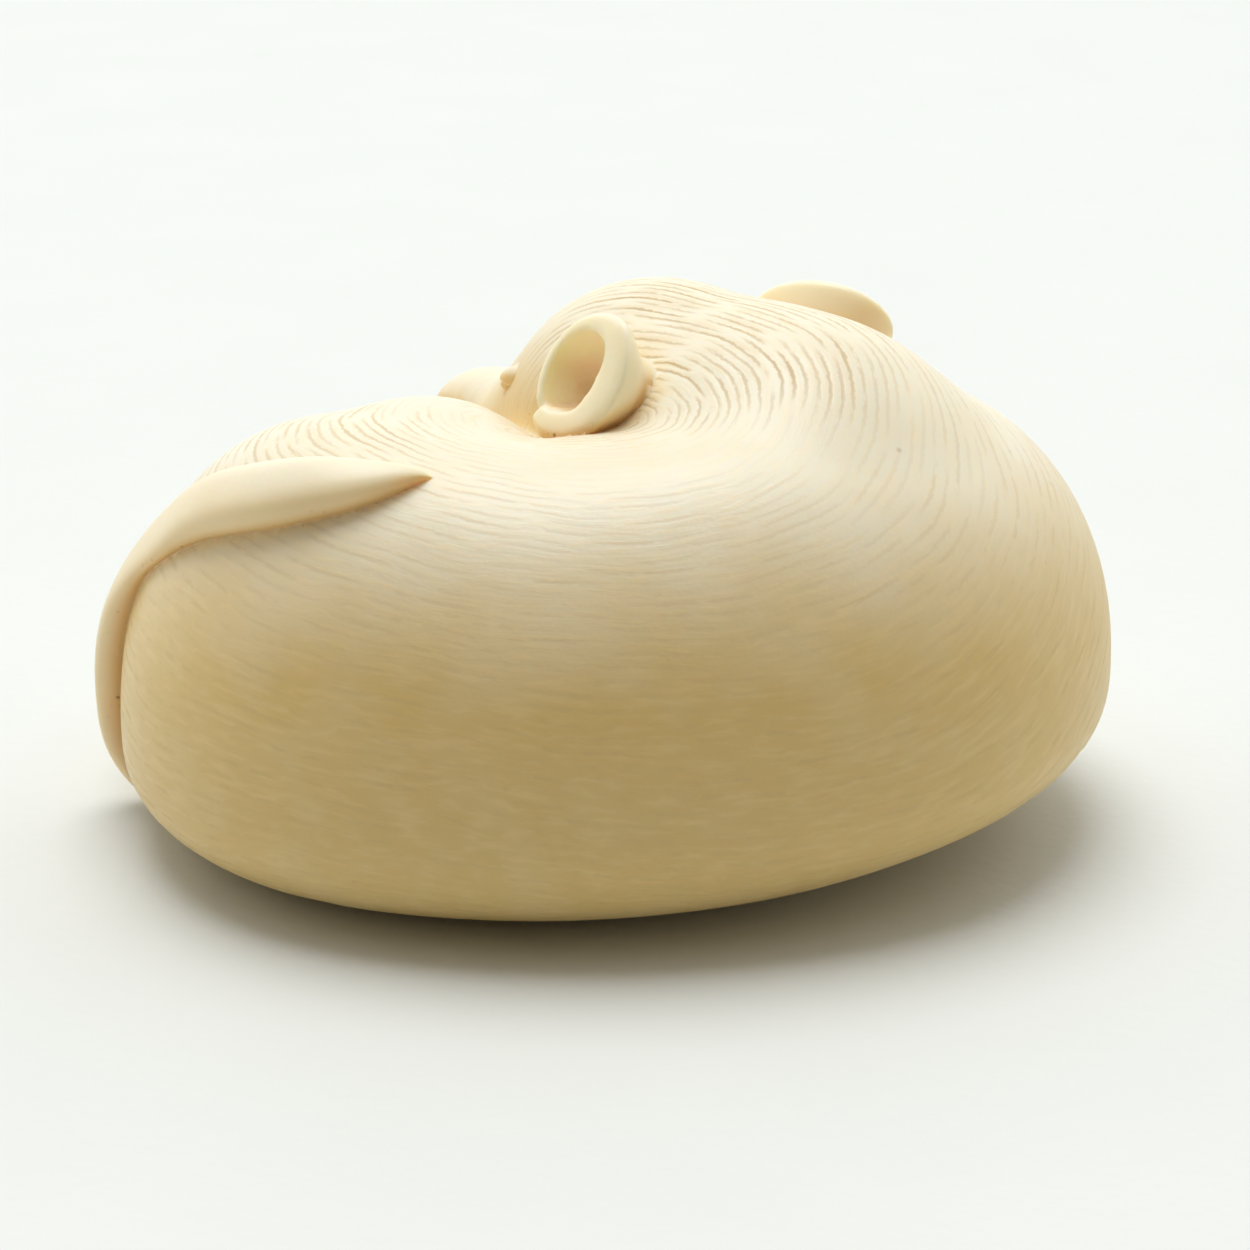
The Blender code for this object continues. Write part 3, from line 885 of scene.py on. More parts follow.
def tail_form():
    """The tail: narrow at the root, pressed flat where it turns, widest above, and drawn to a point."""
    path, outward = lay_on_body(TAIL_ROUTE, TAIL_SAMPLES)
    along = np.concatenate([[0], np.cumsum(np.linalg.norm(np.diff(path, axis=0), axis=1))])
    share = along / along[-1]
    swell = smooth_step(0.1, 0.6, share)
    point = 1 - (1 - np.clip((along[-1] - along) / TAIL_TIP_LENGTH, 0.002, 1)) ** TAIL_BLUNTNESS
    pressed = PRESSED * np.exp(-(((share - PRESSED_AT) / PRESSED_LENGTH) ** 2))
    relief = TAIL_RELIEF * (0.9 + 0.1 * swell) * (1 - pressed) * point**0.7
    half_width = TAIL_WIDTH / 2 * (TAIL_ROOT + (1 - TAIL_ROOT) * swell) * point
    sunk = TIP_SINK * smooth_step(TIP_SINK_LENGTH, 0.0, along[-1] - along)
    middle = path + outward * (0.4 * relief - sunk)[:, None]
    return taper_form(middle, outward, half_width, 0.6 * relief, 0.95 * relief, keel=0.75, sides=32)


print("the tail is read at", TAIL_SAMPLES, "places")

# %% [markdown]
# The feet don't show in the photograph, so they are plain: smooth, flat and tucked under the flank. One
# hind foot lies along the base, and both forepaws end below the chin, one above the other.

# %% Sizes of the feet
HIND_FOOT_WIDTH = 3.9 * MM
FOREPAW_WIDTH = 3.3 * MM
HIND_FOOT_ROUTE = (
    (-23.6, 5.6, 10.2),
    (-21.8, 11.0, 7.2),
    (-17.5, 15.5, 4.6),
    (-11.5, 18.0, 3.2),
    (-8.0, 18.0, 3.0),
)
HIND_FOOT_SWELL = (1.5, 1.0, 0.85, 1.0, 0.95)
LOWER_PAW_ROUTE = ((15.5, 14.5, 5.0), (10.5, 17.5, 3.6), (5.0, 17.0, 3.0), (1.5, 16.0, 2.9))
UPPER_PAW_ROUTE = ((12.5, 16.0, 10.0), (8.0, 17.0, 8.8), (3.0, 16.5, 7.8), (-0.5, 15.5, 7.6))
FOREPAW_SWELL = (1.35, 1.15, 0.85, 1.0)
HEEL_SINK = 0.0
FOREARM_SINK = 0.3
FOOT_SAMPLES = 36
FOOT_FLATNESS = 0.72
TOES = 4
TOE_START = -0.7
TOE_REACH = 2.3 * MM
OUTER_TOE_SHARE = 0.8
TOE_FILL = 0.84
TOE_SAMPLES = 14
TOE_SIDES = 14
print("each foot has", TOES, "toes")

# %% Form a foot


def foot_forms(route, swell, width, sink):
    """A long smooth foot that hugs the body, sunk at its start, and its row of short round toes."""
    path, outward = lay_on_body(route, FOOT_SAMPLES)
    swell = through(np.array(swell)[:, None], FOOT_SAMPLES)[:, 0]
    shares = np.linspace(0, 1, FOOT_SAMPLES)
    ends = np.sqrt(1 - 0.9 * np.abs(2 * shares - 1) ** 5)
    half_width = width / 2 * swell * ends
    half_height = FOOT_FLATNESS * half_width * (1 - 0.2 * smooth_step(0.8, 1.0, shares))
    sunk = sink * half_height * smooth_step(0.4, 0.0, shares)
    middle = path - outward * sunk[:, None]
    forms = [taper_form(middle, outward, half_width, half_height, half_height)]
    along = unit(path[-1] - path[-6])
    across = unit(np.cross(along, outward[-1]))
    pitch = 0.95 * width / TOES
    shares = np.linspace(TOE_START, 1.0, TOE_SAMPLES)
    half = TOE_FILL * pitch / 2 * np.sqrt(1 - 0.95 * np.clip((shares - 0.15) / 0.85, 0, 1) ** 4)
    half *= 0.4 + 0.6 * smooth_step(TOE_START, -0.1, shares)
    lift = FOOT_FLATNESS * width / 2 * (0.25 - 0.12 * smooth_step(-0.2, 0.9, shares))
    for toe in range(TOES):
        aside = (toe - (TOES - 1) / 2) * pitch
        reach = TOE_REACH * (OUTER_TOE_SHARE if toe in (0, TOES - 1) else 1.0)
        toe_route = on_grid(path[-1] + aside * across + np.outer(shares * reach, along))
        toe_path, toe_outward = lay_on_body(toe_route, TOE_SAMPLES)
        toe_path += toe_outward * lift[:, None]
        forms.append(taper_form(toe_path, toe_outward, half, 1.2 * half, lift + half, sides=TOE_SIDES))
    return forms


print("the longest toe is", round(TOE_REACH / MM, 1), "mm long")

# %% [markdown]
# ## Eyelids and nose
#
# The face is turned away in the photograph, so it is kept plain: two closed lids and the tip of the
# nose. A carver leaves them standing like low pebbles and cuts the ground down round them. A ball
# that is pressed flat and sunk in the skin gives that shape. A shallow bent line runs across each lid.

# %% Eyelids and nose
EYELID = np.array([1.4, 0.8, 0.65]) * MM
EYELID_SINK = 0.52
EYELID_SLIT = 0.14
SLIT_WIDTH = 0.13
SLIT_BELOW_MIDDLE = 0.3
SLIT_BEND = 0.35
NOSE = np.array([0.8, 0.95, 0.75]) * MM
NOSE_SINK = 0.3


def pebble_form(toward, radii, axes, sink, slit):
    """A small pressed ball, sunk in the skin by some squares, with a slit across if it is an eyelid."""
    form = bmesh.new()
    bmesh.ops.create_uvsphere(form, u_segments=64, v_segments=40, radius=1)
    for vertex in form.verts:
        beside_slit = vertex.co.y + SLIT_BELOW_MIDDLE - SLIT_BEND * vertex.co.x**2
        vertex.co *= 1 - slit * math.exp(-((beside_slit / SLIT_WIDTH) ** 2))
    ground = surface(toward[None])
    place = Vector(off_grid(ground - sink * facing(ground))[0])
    turn = Matrix([Vector(axis) for axis in axes]).transposed().to_4x4()
    swell = Matrix.Diagonal(Vector((*radii, 1)))
    bmesh.ops.transform(form, matrix=Matrix.Translation(place) @ turn @ swell, verts=form.verts)
    bmesh.ops.recalc_face_normals(form, faces=form.faces)
    return form


print("an eyelid is", round(2 * EYELID[0] / MM, 1), "mm long")

# %% [markdown]
# ## One piece
#
# The real ornament is cut from one block, so all these forms become one closed skin. A Boolean union
# does that in a single step. The new edge where two forms meet is also where dirt stays and shade falls
# on the real one, and both are painted along it here. The union makes it easy to find: its points
# belong to no form.

# %% Make the details
shapes = {
    "near_ear": ear_form(*NEAR_EAR, NEAR_HOLLOW, stretch=1.0, thickness=1.0),
    "far_ear": ear_form(*FAR_EAR, FAR_HOLLOW, stretch=1.25, thickness=0.0),
    "tail": tail_form(),
    "nose": pebble_form(on_head(15.0, 0.0, 0.6), NOSE, HEAD_AXES, NOSE_SINK, slit=0.0),
}
for name, side in (("near_eyelid", -1), ("far_eyelid", 1)):
    eye = on_head(4.9, side * 5.0, 2.9)
    shapes[name] = pebble_form(eye, EYELID, (AHEAD, UP, side * RIGHT), EYELID_SINK, EYELID_SLIT)
feet = {
    "hind": (HIND_FOOT_ROUTE, HIND_FOOT_SWELL, HIND_FOOT_WIDTH, HEEL_SINK),
    "lower_fore": (LOWER_PAW_ROUTE, FOREPAW_SWELL, FOREPAW_WIDTH, FOREARM_SINK),
    "upper_fore": (UPPER_PAW_ROUTE, FOREPAW_SWELL, FOREPAW_WIDTH, FOREARM_SINK),
}
for name, shape in feet.items():
    for count, form in enumerate(foot_forms(*shape)):
        shapes[f"{name}_toe_{count}" if count else f"{name}_foot"] = form
print("details:", len(shapes), so_far())

# %% [markdown]
# Before the union, all points of all forms are noted down, with how much dirt and painted shade each
# form takes at its seams and how thin its ivory is. Afterwards that tells which form a point came from.

# %% Join them
STAIN_SHADE_AND_THINNESS = {"tail": (1.0, 0.65), "near_ear": (1.0, 1.0), "far_ear": (0.6, 0.6)}
BODY_STAIN_SHADE_AND_THINNESS = (0.3, 0.0)
OTHER_STAIN_SHADE_AND_THINNESS = (0.35, 0.0)
details = bpy.data.collections.new("details")
for name, form in shapes.items():
    detail = as_object(name, form)
    bpy.context.scene.collection.objects.unlink(detail)
    details.objects.link(detail)
parts = [(BODY_STAIN_SHADE_AND_THINNESS, carving)]
for thing in details.objects:
    parts.append((STAIN_SHADE_AND_THINNESS.get(thing.name, OTHER_STAIN_SHADE_AND_THINNESS), thing))
part_points = np.array([vertex.co for known, thing in parts for vertex in thing.data.vertices])
part_known = np.concatenate([np.tile(known, (len(thing.data.vertices), 1)) for known, thing in parts])
union = carving.modifiers.new("one piece", "BOOLEAN")
union.operation = "UNION"
union.solver = "MANIFOLD"
union.operand_type = "COLLECTION"
union.collection = details
graph = bpy.context.evaluated_depsgraph_get()
joined = bpy.data.meshes.new_from_object(carving.evaluated_get(graph), depsgraph=graph)
carving.modifiers.clear()
carving.data = joined
joined.name = "carved_mouse"
for thing in list(details.objects):
    bpy.data.objects.remove(thing)
bpy.data.collections.remove(details)
print("joined:", len(joined.vertices), "points")

# %% [markdown]
# The block goes on below the table. One cut along the table takes that off and leaves the flat
# underside on which the mouse stands. The hole is filled, so that the skin is closed all round.

# %% Saw the underside flat
SAW_TOLERANCE = 1e-7
form = bmesh.new()
form.from_mesh(joined)
everything = form.verts[:] + form.edges[:] + form.faces[:]
bmesh.ops.bisect_plane(
    form, geom=everything, dist=SAW_TOLERANCE, plane_co=(0, 0, 0), plane_no=(0, 0, -1), clear_outer=True
)
bmesh.ops.holes_fill(form, edges=[edge for edge in form.edges if edge.is_boundary], sides=0)
bmesh.ops.recalc_face_normals(form, faces=form.faces)
print("open edges:", sum(not edge.is_manifold for edge in form.edges))
form.to_mesh(joined)
form.free()
joined.calc_loop_triangles()
print("one piece of", len(joined.loop_triangles), "triangles", so_far())

# %% [markdown]
# ## What the surface remembers
#
# The material has to know where it is on the carving. Six things are written into the points of the
# mesh: how strong the cut is, how brown it is, which way the fur runs, how near a seam is, how deep in
# a hollow the point lies, and how thin the ivory is. The points of the fur are found again by their
# place. Ears, tail and feet have no fur, and their grain follows the place itself.

# %% Find the fur again
SAME_POINT = 2e-6
FUR_MARGIN = 0.3 * MM
SMOOTH_GRAIN = 0.5


def tree_of(points):
    """A search tree for the nearest of many points."""
    tree = KDTree(len(points))
    for index, place in enumerate(points):
        tree.insert(place, index)
    tree.balance()
    return tree


count = len(joined.vertices)
places = np.empty(count * 3)
joined.vertices.foreach_get("co", places)
places = places.reshape(-1, 3)
fur_tree = tree_of(off_grid(ground))
stroke_here = np.zeros(count)
brown_here = np.zeros(count)
flow_here = np.zeros((count, 3))
for index, place in enumerate(places):
    _, nearest, distance = fur_tree.find(place)
    flow_here[index] = flow[nearest] if distance < FUR_MARGIN else place / MM * SMOOTH_GRAIN
    if distance < SAME_POINT:
        stroke_here[index] = strength[nearest]
        brown_here[index] = brown[nearest]
print("points with fur:", int((stroke_here > 0).sum()), so_far())

# %% [markdown]
# A seam is where a point belongs to no form, because the union made it. Dirt and painted shade are
# laid within about a millimetre of it, more beside the ears and the tail than at the feet.

# %% Find the seams
SEAM_REACH = 0.85 * MM
SEAM_ITSELF = 0.3
JUST_ABOVE_THE_TABLE = 0.02 * MM
whole_tree = tree_of(part_points)
found = [whole_tree.find(place) for place in places]
off_parts = np.array([distance for _, _, distance in found]) > SAME_POINT
stain_and_shade, thin_here = part_known[[nearest for _, nearest, _ in found]].T
seam = np.flatnonzero(off_parts & (places[:, 2] > JUST_ABOVE_THE_TABLE))
seam_tree = tree_of(places[seam])
seam_here = np.array([math.exp(-seam_tree.find(place)[2] / SEAM_REACH) for place in places])
seam_here *= np.where(off_parts, SEAM_ITSELF, stain_and_shade)
print("seam points:", len(seam), so_far())

# %% [markdown]
# How deep in a hollow a point lies is measured with short rays that fan out from it. The more of them
# hit the carving again, and the sooner, the less light and the more dirt get there.

# %% Measure the hollows
HOLLOW_REACH = 5 * MM
HOLLOW_RAYS = 14
ANY_DIRECTION = (0.36, 0.48, 0.8)
turns = np.arange(HOLLOW_RAYS) * math.pi * (3 - math.sqrt(5))
rises = np.sqrt((np.arange(HOLLOW_RAYS) + 0.5) / HOLLOW_RAYS)
sweep = np.column_stack([rises * np.cos(turns), rises * np.sin(turns), np.sqrt(1 - rises**2)])
skin = bmesh.new()
skin.from_mesh(joined)
skin_tree = BVHTree.FromBMesh(skin)
skin.free()
hollow_here = np.zeros(count)
for index, vertex in enumerate(joined.vertices):
    if vertex.co.z < JUST_ABOVE_THE_TABLE:
        continue
    normal = np.array(vertex.normal)
    aside = unit(np.cross(normal, ANY_DIRECTION))
    frame_here = np.array([aside, np.cross(normal, aside), normal])
    start = vertex.co + 0.03 * MM * vertex.normal
    blocked = 0.0
    for ray in sweep @ frame_here:
        distance = skin_tree.ray_cast(start, ray, HOLLOW_REACH)[3]
        if distance is not None:
            blocked += 1 - distance / HOLLOW_REACH
    hollow_here[index] = blocked / HOLLOW_RAYS
print("the deepest hollow:", round(hollow_here.max(), 2), so_far())

# %% Write it all into the mesh
masks = {
    "stroke": stroke_here,
    "brown": brown_here,
    "seam": seam_here,
    "hollow": hollow_here,
    "thin": thin_here,
}
for name, values in masks.items():
    joined.attributes.new(name, "FLOAT", "POINT").data.foreach_set("value", values)
joined.attributes.new("flow", "FLOAT_VECTOR", "POINT").data.foreach_set("vector", flow_here.ravel())
print("the points remember:", *masks, "and flow")

# %% [markdown]
# ## Materials
#
# A material is a net of nodes, and each node is one small step of reckoning. Written out in full, the
# steps would hide the idea. So a few helpers make a node, set its sockets and link it in one line.

# %% Helpers for nodes


def add(tree, kind, **settings):
    """A new node. A setting named like an input, or _ and its number, sets it or is linked to it."""
    node = tree.nodes.new(kind)
    for name in ("operation", "data_type", "attribute_name"):
        if name in settings:
            setattr(node, name, settings.pop(name))
    for name, value in settings.items():
        socket = node.inputs[int(name[1:])] if name[0] == "_" else node.inputs[name.replace("_", " ")]
        if isinstance(value, bpy.types.NodeSocket):
            tree.links.new(value, socket)
        else:
            socket.default_value = value
    return node


def math_node(tree, operation, first, second=0.0):
    """One step of reckoning, on sockets or numbers."""
    return add(tree, "ShaderNodeMath", operation=operation, _0=first, _1=second).outputs[0]


def times(tree, first, second):
    """The product of two sockets or numbers."""
    return math_node(tree, "MULTIPLY", first, second)


def plus(tree, first, second):
    """The sum of two sockets or numbers."""
    return math_node(tree, "ADD", first, second)


def noise(tree, vector, scale, detail=2.0):
    """Soft noise from 0 to 1. The scale is about the number of blobs in a metre."""
    return add(tree, "ShaderNodeTexNoise", Vector=vector, Scale=scale, Detail=detail).outputs["Fac"]


def ramp(tree, value, low, high, to_low=0.0, to_high=1.0):
    """Value's way from low to high, eased, as a number from to_low to to_high."""
    node = tree.nodes.new("ShaderNodeMapRange")
    node.interpolation_type = "SMOOTHSTEP"
    tree.links.new(value, node.inputs["Value"])
    for name, number in (("From Min", low), ("From Max", high), ("To Min", to_low), ("To Max", to_high)):
        node.inputs[name].default_value = number
    return node.outputs["Result"]


print("helpers for numbers: add, math_node, times, plus, noise and ramp")

# %% Helpers for colours and materials


def mix_colour(tree, share, first, second):
    """A share of the second colour over the first."""
    node = add(tree, "ShaderNodeMix", data_type="RGBA", _0=share, _6=first, _7=second)
    return node.outputs[2]


def new_material(name):
    """A material, with its nodes and its main shader."""
    material = bpy.data.materials.new(name)
    material.use_nodes = True
    return material, material.node_tree, material.node_tree.nodes["Principled BSDF"]


def remembered(tree, name, output="Fac"):
    """What the mesh's points remember under a name."""
    return add(tree, "ShaderNodeAttribute", attribute_name=name).outputs[output]


print("helpers for colours and materials: mix_colour, new_material and remembered")

# %% [markdown]
# Ivory and table both have a fine grain that catches the light, and slow clouds that make their colour
# uneven. Both come from one node group, which takes the place and the size of a grain.

# %% Grain, for the ivory and the table
CLOUDS_TO_GRAIN = 0.06
grain = bpy.data.node_groups.new("fine_grain", "ShaderNodeTree")
grain.interface.new_socket("Place", in_out="INPUT", socket_type="NodeSocketVector")
grain.interface.new_socket("Size", in_out="INPUT", socket_type="NodeSocketFloat")
grain.interface.new_socket("Height", in_out="OUTPUT", socket_type="NodeSocketFloat")
grain.interface.new_socket("Clouds", in_out="OUTPUT", socket_type="NodeSocketFloat")
enter = grain.nodes.new("NodeGroupInput")
leave = grain.nodes.new("NodeGroupOutput")
fineness = math_node(grain, "DIVIDE", 1.0, enter.outputs["Size"])
fine = noise(grain, enter.outputs["Place"], fineness, detail=1.0)
coarseness = math_node(grain, "DIVIDE", CLOUDS_TO_GRAIN, enter.outputs["Size"])
clouds = noise(grain, enter.outputs["Place"], coarseness)
grain.links.new(fine, leave.inputs["Height"])
grain.links.new(clouds, leave.inputs["Clouds"])


def grain_of(tree, place, size):
    """The grain group in a material: its height and its clouds."""
    node = tree.nodes.new("ShaderNodeGroup")
    node.node_tree = grain
    node.inputs["Size"].default_value = size
    tree.links.new(place, node.inputs["Place"])
    return node.outputs["Height"], node.outputs["Clouds"]


print("grain group:", len(grain.nodes), "nodes")

# %% [markdown]
# ## Ivory
#
# Old ivory is cream where hands polish it and honey-coloured where they don't. Here the cream is laid
# where the surface faces up and the honey on the sides and below, so the honey is partly painted shade.
# It lets light in a little way, which softens every edge and makes thin parts glow, and that glow is also
# painted into their colour as painted light. Brown has settled in the cuts, and the orange along the
# seams is partly dirt and partly painted shade. Each of these is one layer of the material, and each can
# be turned up or down. A picture wrapped round the carving would stretch and show its edges, so the
# layers read what the mesh remembers instead.

# %% What the ivory reads
CREAM = (0.855, 0.80, 0.645, 1)
HONEY = (0.75, 0.55, 0.225, 1)
GOLD = (0.97, 0.77, 0.42, 1)
LIT_THROUGH = (0.99, 0.88, 0.64, 1)
ORANGE = (0.74, 0.45, 0.15, 1)
OLD_BROWN = (0.30, 0.14, 0.05, 1)
STROKE_TAN = (0.60, 0.45, 0.235, 1)
IVORY_GRAIN = 0.25 * MM
ivory, tree, shader = new_material("ivory")
where = tree.nodes.new("ShaderNodeTexCoord")
place = where.outputs["Object"]
fine_height, clouds = grain_of(tree, place, IVORY_GRAIN)
stroke_mask = remembered(tree, "stroke")
brown_mask = remembered(tree, "brown")
flow_vector = remembered(tree, "flow", "Vector")
seam_mask = remembered(tree, "seam")
thin_mask = remembered(tree, "thin")
hollow_mask = remembered(tree, "hollow")
facing_up = add(tree, "ShaderNodeSeparateXYZ", Vector=where.outputs["Normal"]).outputs["Z"]
print("ivory reads", len(masks) + 1, "things from the mesh")

# %% [markdown]
# A cut is a thin line in the middle of its lane. Noise makes it ragged, as a graver does where it
# chips, and breaks it into dashes on the shaded side, where it is nearly rubbed away. Between the cuts
# run finer streaks, like hair.

# %% Cuts and hair, as masks
CHIPS_FINENESS = 3200.0
DASH_STRETCH = (0.8, 0.8, 1.7)
HAIR_STRETCH = (0.45, 0.45, 2.2)
flow_parts = add(tree, "ShaderNodeSeparateXYZ", Vector=flow_vector)
ragged = noise(tree, place, CHIPS_FINENESS)
lane = plus(tree, flow_parts.outputs["Z"], times(tree, ragged, 0.4))
across = math_node(tree, "ABSOLUTE", math_node(tree, "SUBTRACT", math_node(tree, "FRACT", lane), 0.7))
thin_line = ramp(tree, across, 0.24, 0.08)
dash_place = add(tree, "ShaderNodeVectorMath", operation="MULTIPLY", _0=flow_vector, _1=DASH_STRETCH)
dash = noise(tree, dash_place.outputs[0], 1.0, detail=1.0)
dash = plus(tree, dash, ramp(tree, facing_up, 0.3, 0.85, 0.0, 0.16))
broken = ramp(tree, dash, 0.42, 0.58)
line = times(tree, thin_line, times(tree, stroke_mask, broken))
brown_line = times(tree, line, brown_mask)
hair_place = add(tree, "ShaderNodeVectorMath", operation="MULTIPLY", _0=flow_vector, _1=HAIR_STRETCH)
hair = noise(tree, hair_place.outputs[0], 1.0)
print("masks so far:", len(tree.nodes), "nodes")

# %% [markdown]
# The ground colour goes from honey to cream where the surface faces up, which is partly the polish and
# partly painted shade. Hollows get a golden tint as painted shade, most in the ears and the tail. The ears
# and the tail are painted paler, as painted light shining through their thin ivory.

# %% The ground colour
# Painted shade: cream where the surface faces up and honey on the sides and below, and honey near the
# seams; the cream also stands for the polish.
polish_and_painted_shade = ramp(tree, facing_up, 0.14, 0.9)
polish_and_painted_shade = plus(tree, polish_and_painted_shade, ramp(tree, clouds, 0.3, 0.7, -0.08, 0.08))
polish_and_painted_shade = math_node(tree, "SUBTRACT", polish_and_painted_shade, times(tree, seam_mask, 0.4))
polish_and_painted_shade = add(tree, "ShaderNodeClamp", _0=polish_and_painted_shade).outputs[0]
colour = mix_colour(tree, polish_and_painted_shade, HONEY, CREAM)
# Gold streaks along the fur: a random tone, and partly painted sheen on the ridges between the cuts.
colour = mix_colour(tree, ramp(tree, hair, 0.42, 0.75, 0.0, 0.2), colour, GOLD)
# Painted shade: a golden tint in the hollows, strongest in the thin ears and tail.
gold_painted_shade = ramp(tree, thin_mask, 0.0, 1.0, 0.4, 0.85)
gold_painted_shade = times(tree, ramp(tree, hollow_mask, 0.12, 0.5), gold_painted_shade)
colour = mix_colour(tree, gold_painted_shade, colour, GOLD)
# Painted light: the ears and the tail are made paler, as if lit through their thin ivory.
through_light = times(tree, thin_mask, ramp(tree, hollow_mask, 0.25, 0.55, 0.85, 0.15))
through_light = times(tree, through_light, ramp(tree, facing_up, 0.95, 0.4, 0.2, 1.0))
colour = mix_colour(tree, through_light, colour, LIT_THROUGH)
print("ground colour:", len(tree.nodes), "nodes")

# %% [markdown]
# Orange is painted along the seams, most on their undersides: partly dirt, and partly painted shade
# where the seams lie in shadow. The bottom of the ears is dusty. The cuts are tan, with a faint smear
# round the bold ones. A few brown dots lie anywhere on the skin, and many small specks in the dirt.

# %% Dirt, painted shade and brown
DOTS_FINENESS = 420.0
DOTS_PATCHES = 260.0
SPECKS_FINENESS = 1700.0
SPECKS_PATCHES = 1100.0
# Painted shade and dirt: orange along the seams, strongest where the surface faces down, as under the
# tail.
under_side = ramp(tree, facing_up, 0.75, 0.0, 0.3, 1.0)
dirt_and_painted_shade = times(tree, seam_mask, under_side)
colour = mix_colour(tree, ramp(tree, dirt_and_painted_shade, 0.12, 0.8, 0.0, 0.85), colour, ORANGE)
dust = ramp(tree, facing_up, 0.0, 0.6, 0.0, 0.6)
dust = times(tree, ramp(tree, hollow_mask, 0.25, 0.42), dust)
colour = mix_colour(tree, times(tree, dust, thin_mask), colour, ORANGE)
smear = ramp(tree, hair, 0.45, 0.65, 0.0, 0.3)
smear = times(tree, ramp(tree, brown_mask, 0.55, 1.0), smear)
colour = mix_colour(tree, times(tree, smear, stroke_mask), colour, STROKE_TAN)
colour = mix_colour(tree, brown_line, colour, STROKE_TAN)
dots = add(tree, "ShaderNodeTexVoronoi", Vector=place, Scale=DOTS_FINENESS).outputs["Distance"]
few = ramp(tree, noise(tree, place, DOTS_PATCHES), 0.58, 0.7)
dots = times(tree, ramp(tree, dots, 0.09, 0.03), few)
colour = mix_colour(tree, times(tree, dots, 0.4), colour, OLD_BROWN)
specks = add(tree, "ShaderNodeTexVoronoi", Vector=place, Scale=SPECKS_FINENESS).outputs["Distance"]
dirty = plus(tree, ramp(tree, dirt_and_painted_shade, 0.25, 0.8), ramp(tree, hollow_mask, 0.27, 0.4))
dirty = times(tree, dirty, ramp(tree, noise(tree, place, SPECKS_PATCHES), 0.5, 0.62))
specks = times(tree, ramp(tree, specks, 0.24, 0.12), dirty)
colour = mix_colour(tree, times(tree, specks, 0.6), colour, OLD_BROWN)
tree.links.new(colour, shader.inputs["Base Color"])
print("with the dirt:", len(tree.nodes), "nodes")

# %% [markdown]
# Rubbed ivory has a soft gloss that is uneven in patches and duller in the cuts. Light goes in about a
# millimetre, and the red part of it farthest, which the subsurface sockets of the shader do.

# %% Gloss, relief and the light let in
gloss = ramp(tree, clouds, 0.3, 0.7, 0.33, 0.43)
gloss = plus(tree, gloss, times(tree, line, 0.25))
tree.links.new(gloss, shader.inputs["Roughness"])
relief = plus(tree, times(tree, fine_height, 0.35), hair)
bump = add(tree, "ShaderNodeBump", Height=relief, Strength=0.4, Distance=0.05 * MM)
tree.links.new(bump.outputs["Normal"], shader.inputs["Normal"])
shader.inputs["Subsurface Weight"].default_value = 0.7
shader.inputs["Subsurface Radius"].default_value = (1.0, 0.75, 0.5)
shader.inputs["Subsurface Scale"].default_value = 1.0 * MM
shader.inputs["Specular IOR Level"].default_value = 0.42
carving.data.materials.clear()
carving.data.materials.append(ivory)
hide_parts("mouse")
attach(carving, "root")
print("ivory:", len(tree.nodes), "nodes")

# %% [markdown]
# ## Table
#
# The mouse stands on a white table. One square is enough, far larger than the picture, so that its edge
# never shows. It shares the ivory's grain group, at a coarser size. It is not attached to the piece.

# %% Table
TABLE_HALF_WIDTH = 3.0
TABLE_WHITE = (0.70, 0.725, 0.715, 1)
TABLE_WHITER = (0.73, 0.755, 0.745, 1)
TABLE_GRAIN = 0.9 * MM
table_form = bmesh.new()
bmesh.ops.create_grid(table_form, x_segments=1, y_segments=1, size=TABLE_HALF_WIDTH)
table = as_object("table", table_form)
white, tree, shader = new_material("table_white")
where = tree.nodes.new("ShaderNodeTexCoord")
fine_height, clouds = grain_of(tree, where.outputs["Object"], TABLE_GRAIN)
colour = mix_colour(tree, clouds, TABLE_WHITE, TABLE_WHITER)
tree.links.new(colour, shader.inputs["Base Color"])
bump = add(tree, "ShaderNodeBump", Height=fine_height, Strength=0.25, Distance=0.1 * MM)
tree.links.new(bump.outputs["Normal"], shader.inputs["Normal"])
shader.inputs["Roughness"].default_value = 0.75
table.data.materials.append(white)
print("the table is", 2 * TABLE_HALF_WIDTH, "m wide")

# %% [markdown]
# ## Camera
#
# The camera is close by, twenty degrees above the table. Its distance sets how fast the far side
# shrinks, and the half width of the view how large the mouse stands in the picture.

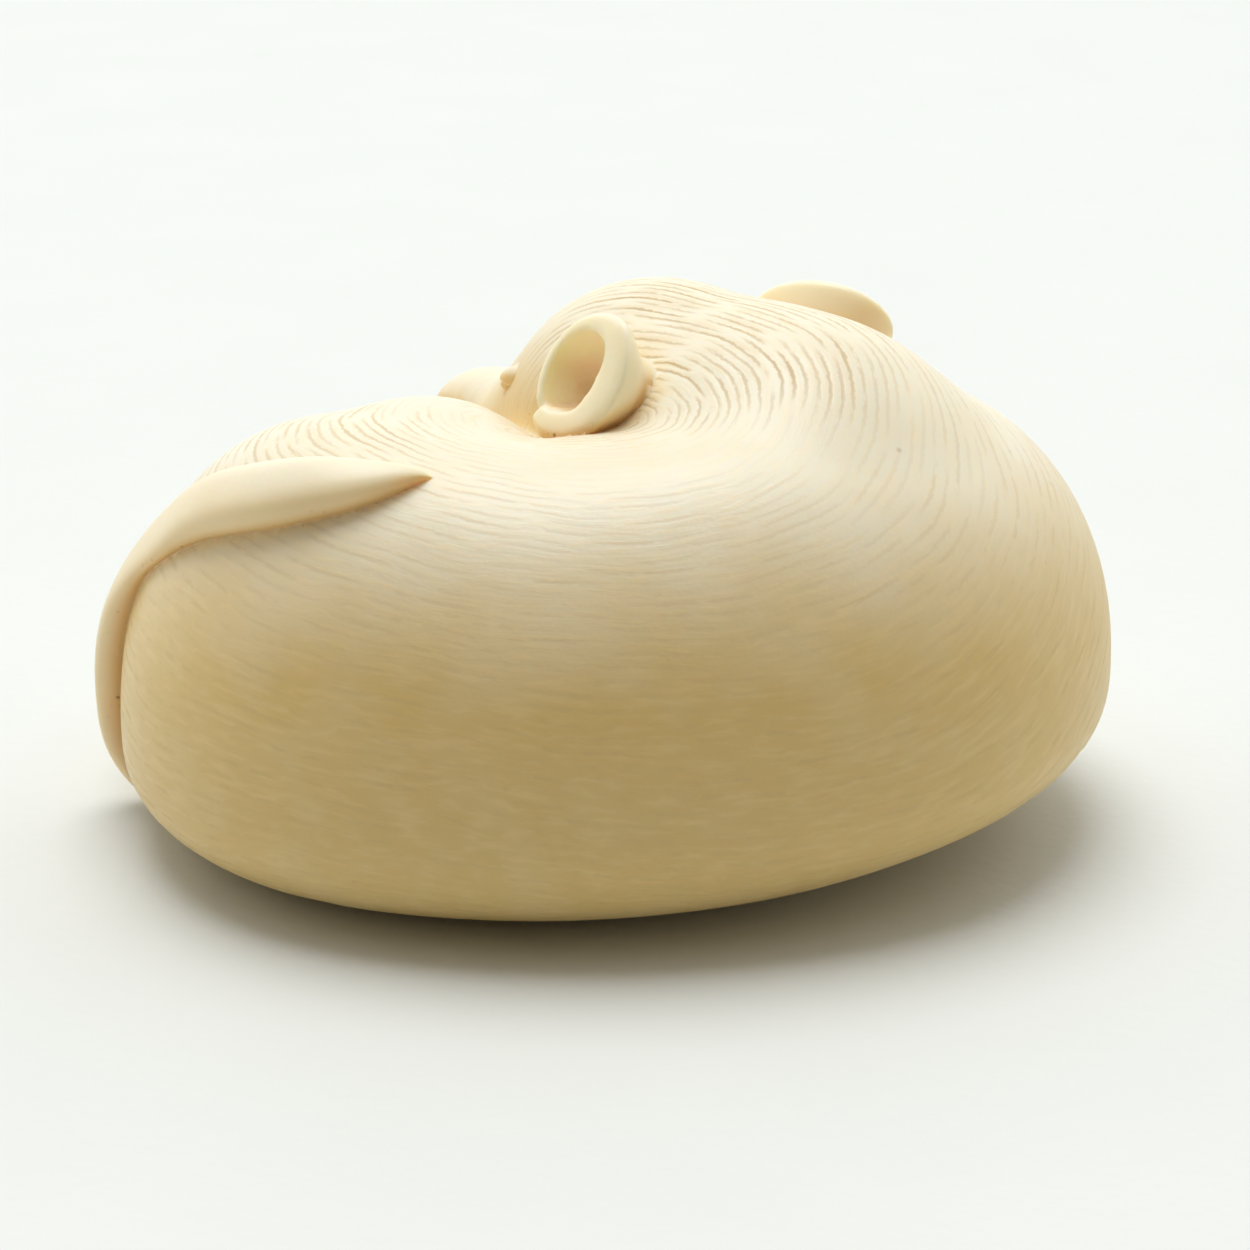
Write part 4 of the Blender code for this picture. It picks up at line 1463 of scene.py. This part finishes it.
# %% Camera
CAMERA_RISE = math.radians(20)
CAMERA_AWAY = 160 * MM
CAMERA_TARGET = Vector((1.0 * MM, -0.9 * MM, 10.65 * MM))
VIEW_HALF_WIDTH = 30.95 * MM
away = Vector((0, -math.cos(CAMERA_RISE), math.sin(CAMERA_RISE)))
camera = bpy.data.objects.new("camera", bpy.data.cameras.new("camera"))
camera.location = CAMERA_TARGET + CAMERA_AWAY * away
camera.rotation_euler = (-away).to_track_quat("-Z", "Y").to_euler()
camera.data.angle = 2 * math.atan(VIEW_HALF_WIDTH / CAMERA_AWAY)
camera.data.clip_start = 5 * MM
bpy.context.scene.collection.objects.link(camera)
bpy.context.scene.camera = camera
print("the camera is", round(CAMERA_AWAY / MM), "mm away")

# %% [markdown]
# ## Light
#
# A broad lamp hangs above and a little behind the mouse. The room is bright on the far side, and dim and
# warm behind the camera, so the near side is lit mostly by the table. That gives the pale top, the
# honey-coloured flank and the soft brown shadow, and shade painted into the ivory's colour adds to the
# pale top and the honey flank.

# %% Light
LAMP_POWER = 15.8
LAMP_PLACE = (-0.1, 0.25, 1.5)
LAMP_SIZE = 1.1
ROOM_DIM = 0.09
ROOM_BRIGHT = 0.97
WARM_DIM = (1.0, 0.86, 0.66, 1)
COOL_BRIGHT = (0.98, 1.0, 0.98, 1)
world = bpy.data.worlds.new("studio")
bpy.context.scene.world = world
world.use_nodes = True
sky = world.node_tree
look_at = sky.nodes.new("ShaderNodeTexCoord")
along_y = add(sky, "ShaderNodeSeparateXYZ", Vector=look_at.outputs["Generated"]).outputs["Y"]
brightness = ramp(sky, along_y, -0.78, 0.22, ROOM_DIM, ROOM_BRIGHT)
tint = mix_colour(sky, brightness, WARM_DIM, COOL_BRIGHT)
sky.links.new(tint, sky.nodes["Background"].inputs["Color"])
sky.links.new(brightness, sky.nodes["Background"].inputs["Strength"])
lamp = bpy.data.objects.new("lamp", bpy.data.lights.new("lamp", "AREA"))
lamp.data.shape = "DISK"
lamp.data.size = LAMP_SIZE
lamp.data.energy = LAMP_POWER
lamp.location = LAMP_PLACE
lamp.rotation_euler = (-lamp.location).to_track_quat("-Z", "Y").to_euler()
bpy.context.scene.collection.objects.link(lamp)
bpy.context.scene.view_settings.view_transform = "Standard"
print("the lamp gives", LAMP_POWER, "W")

# %% Hand over
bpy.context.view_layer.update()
print("all done", so_far())
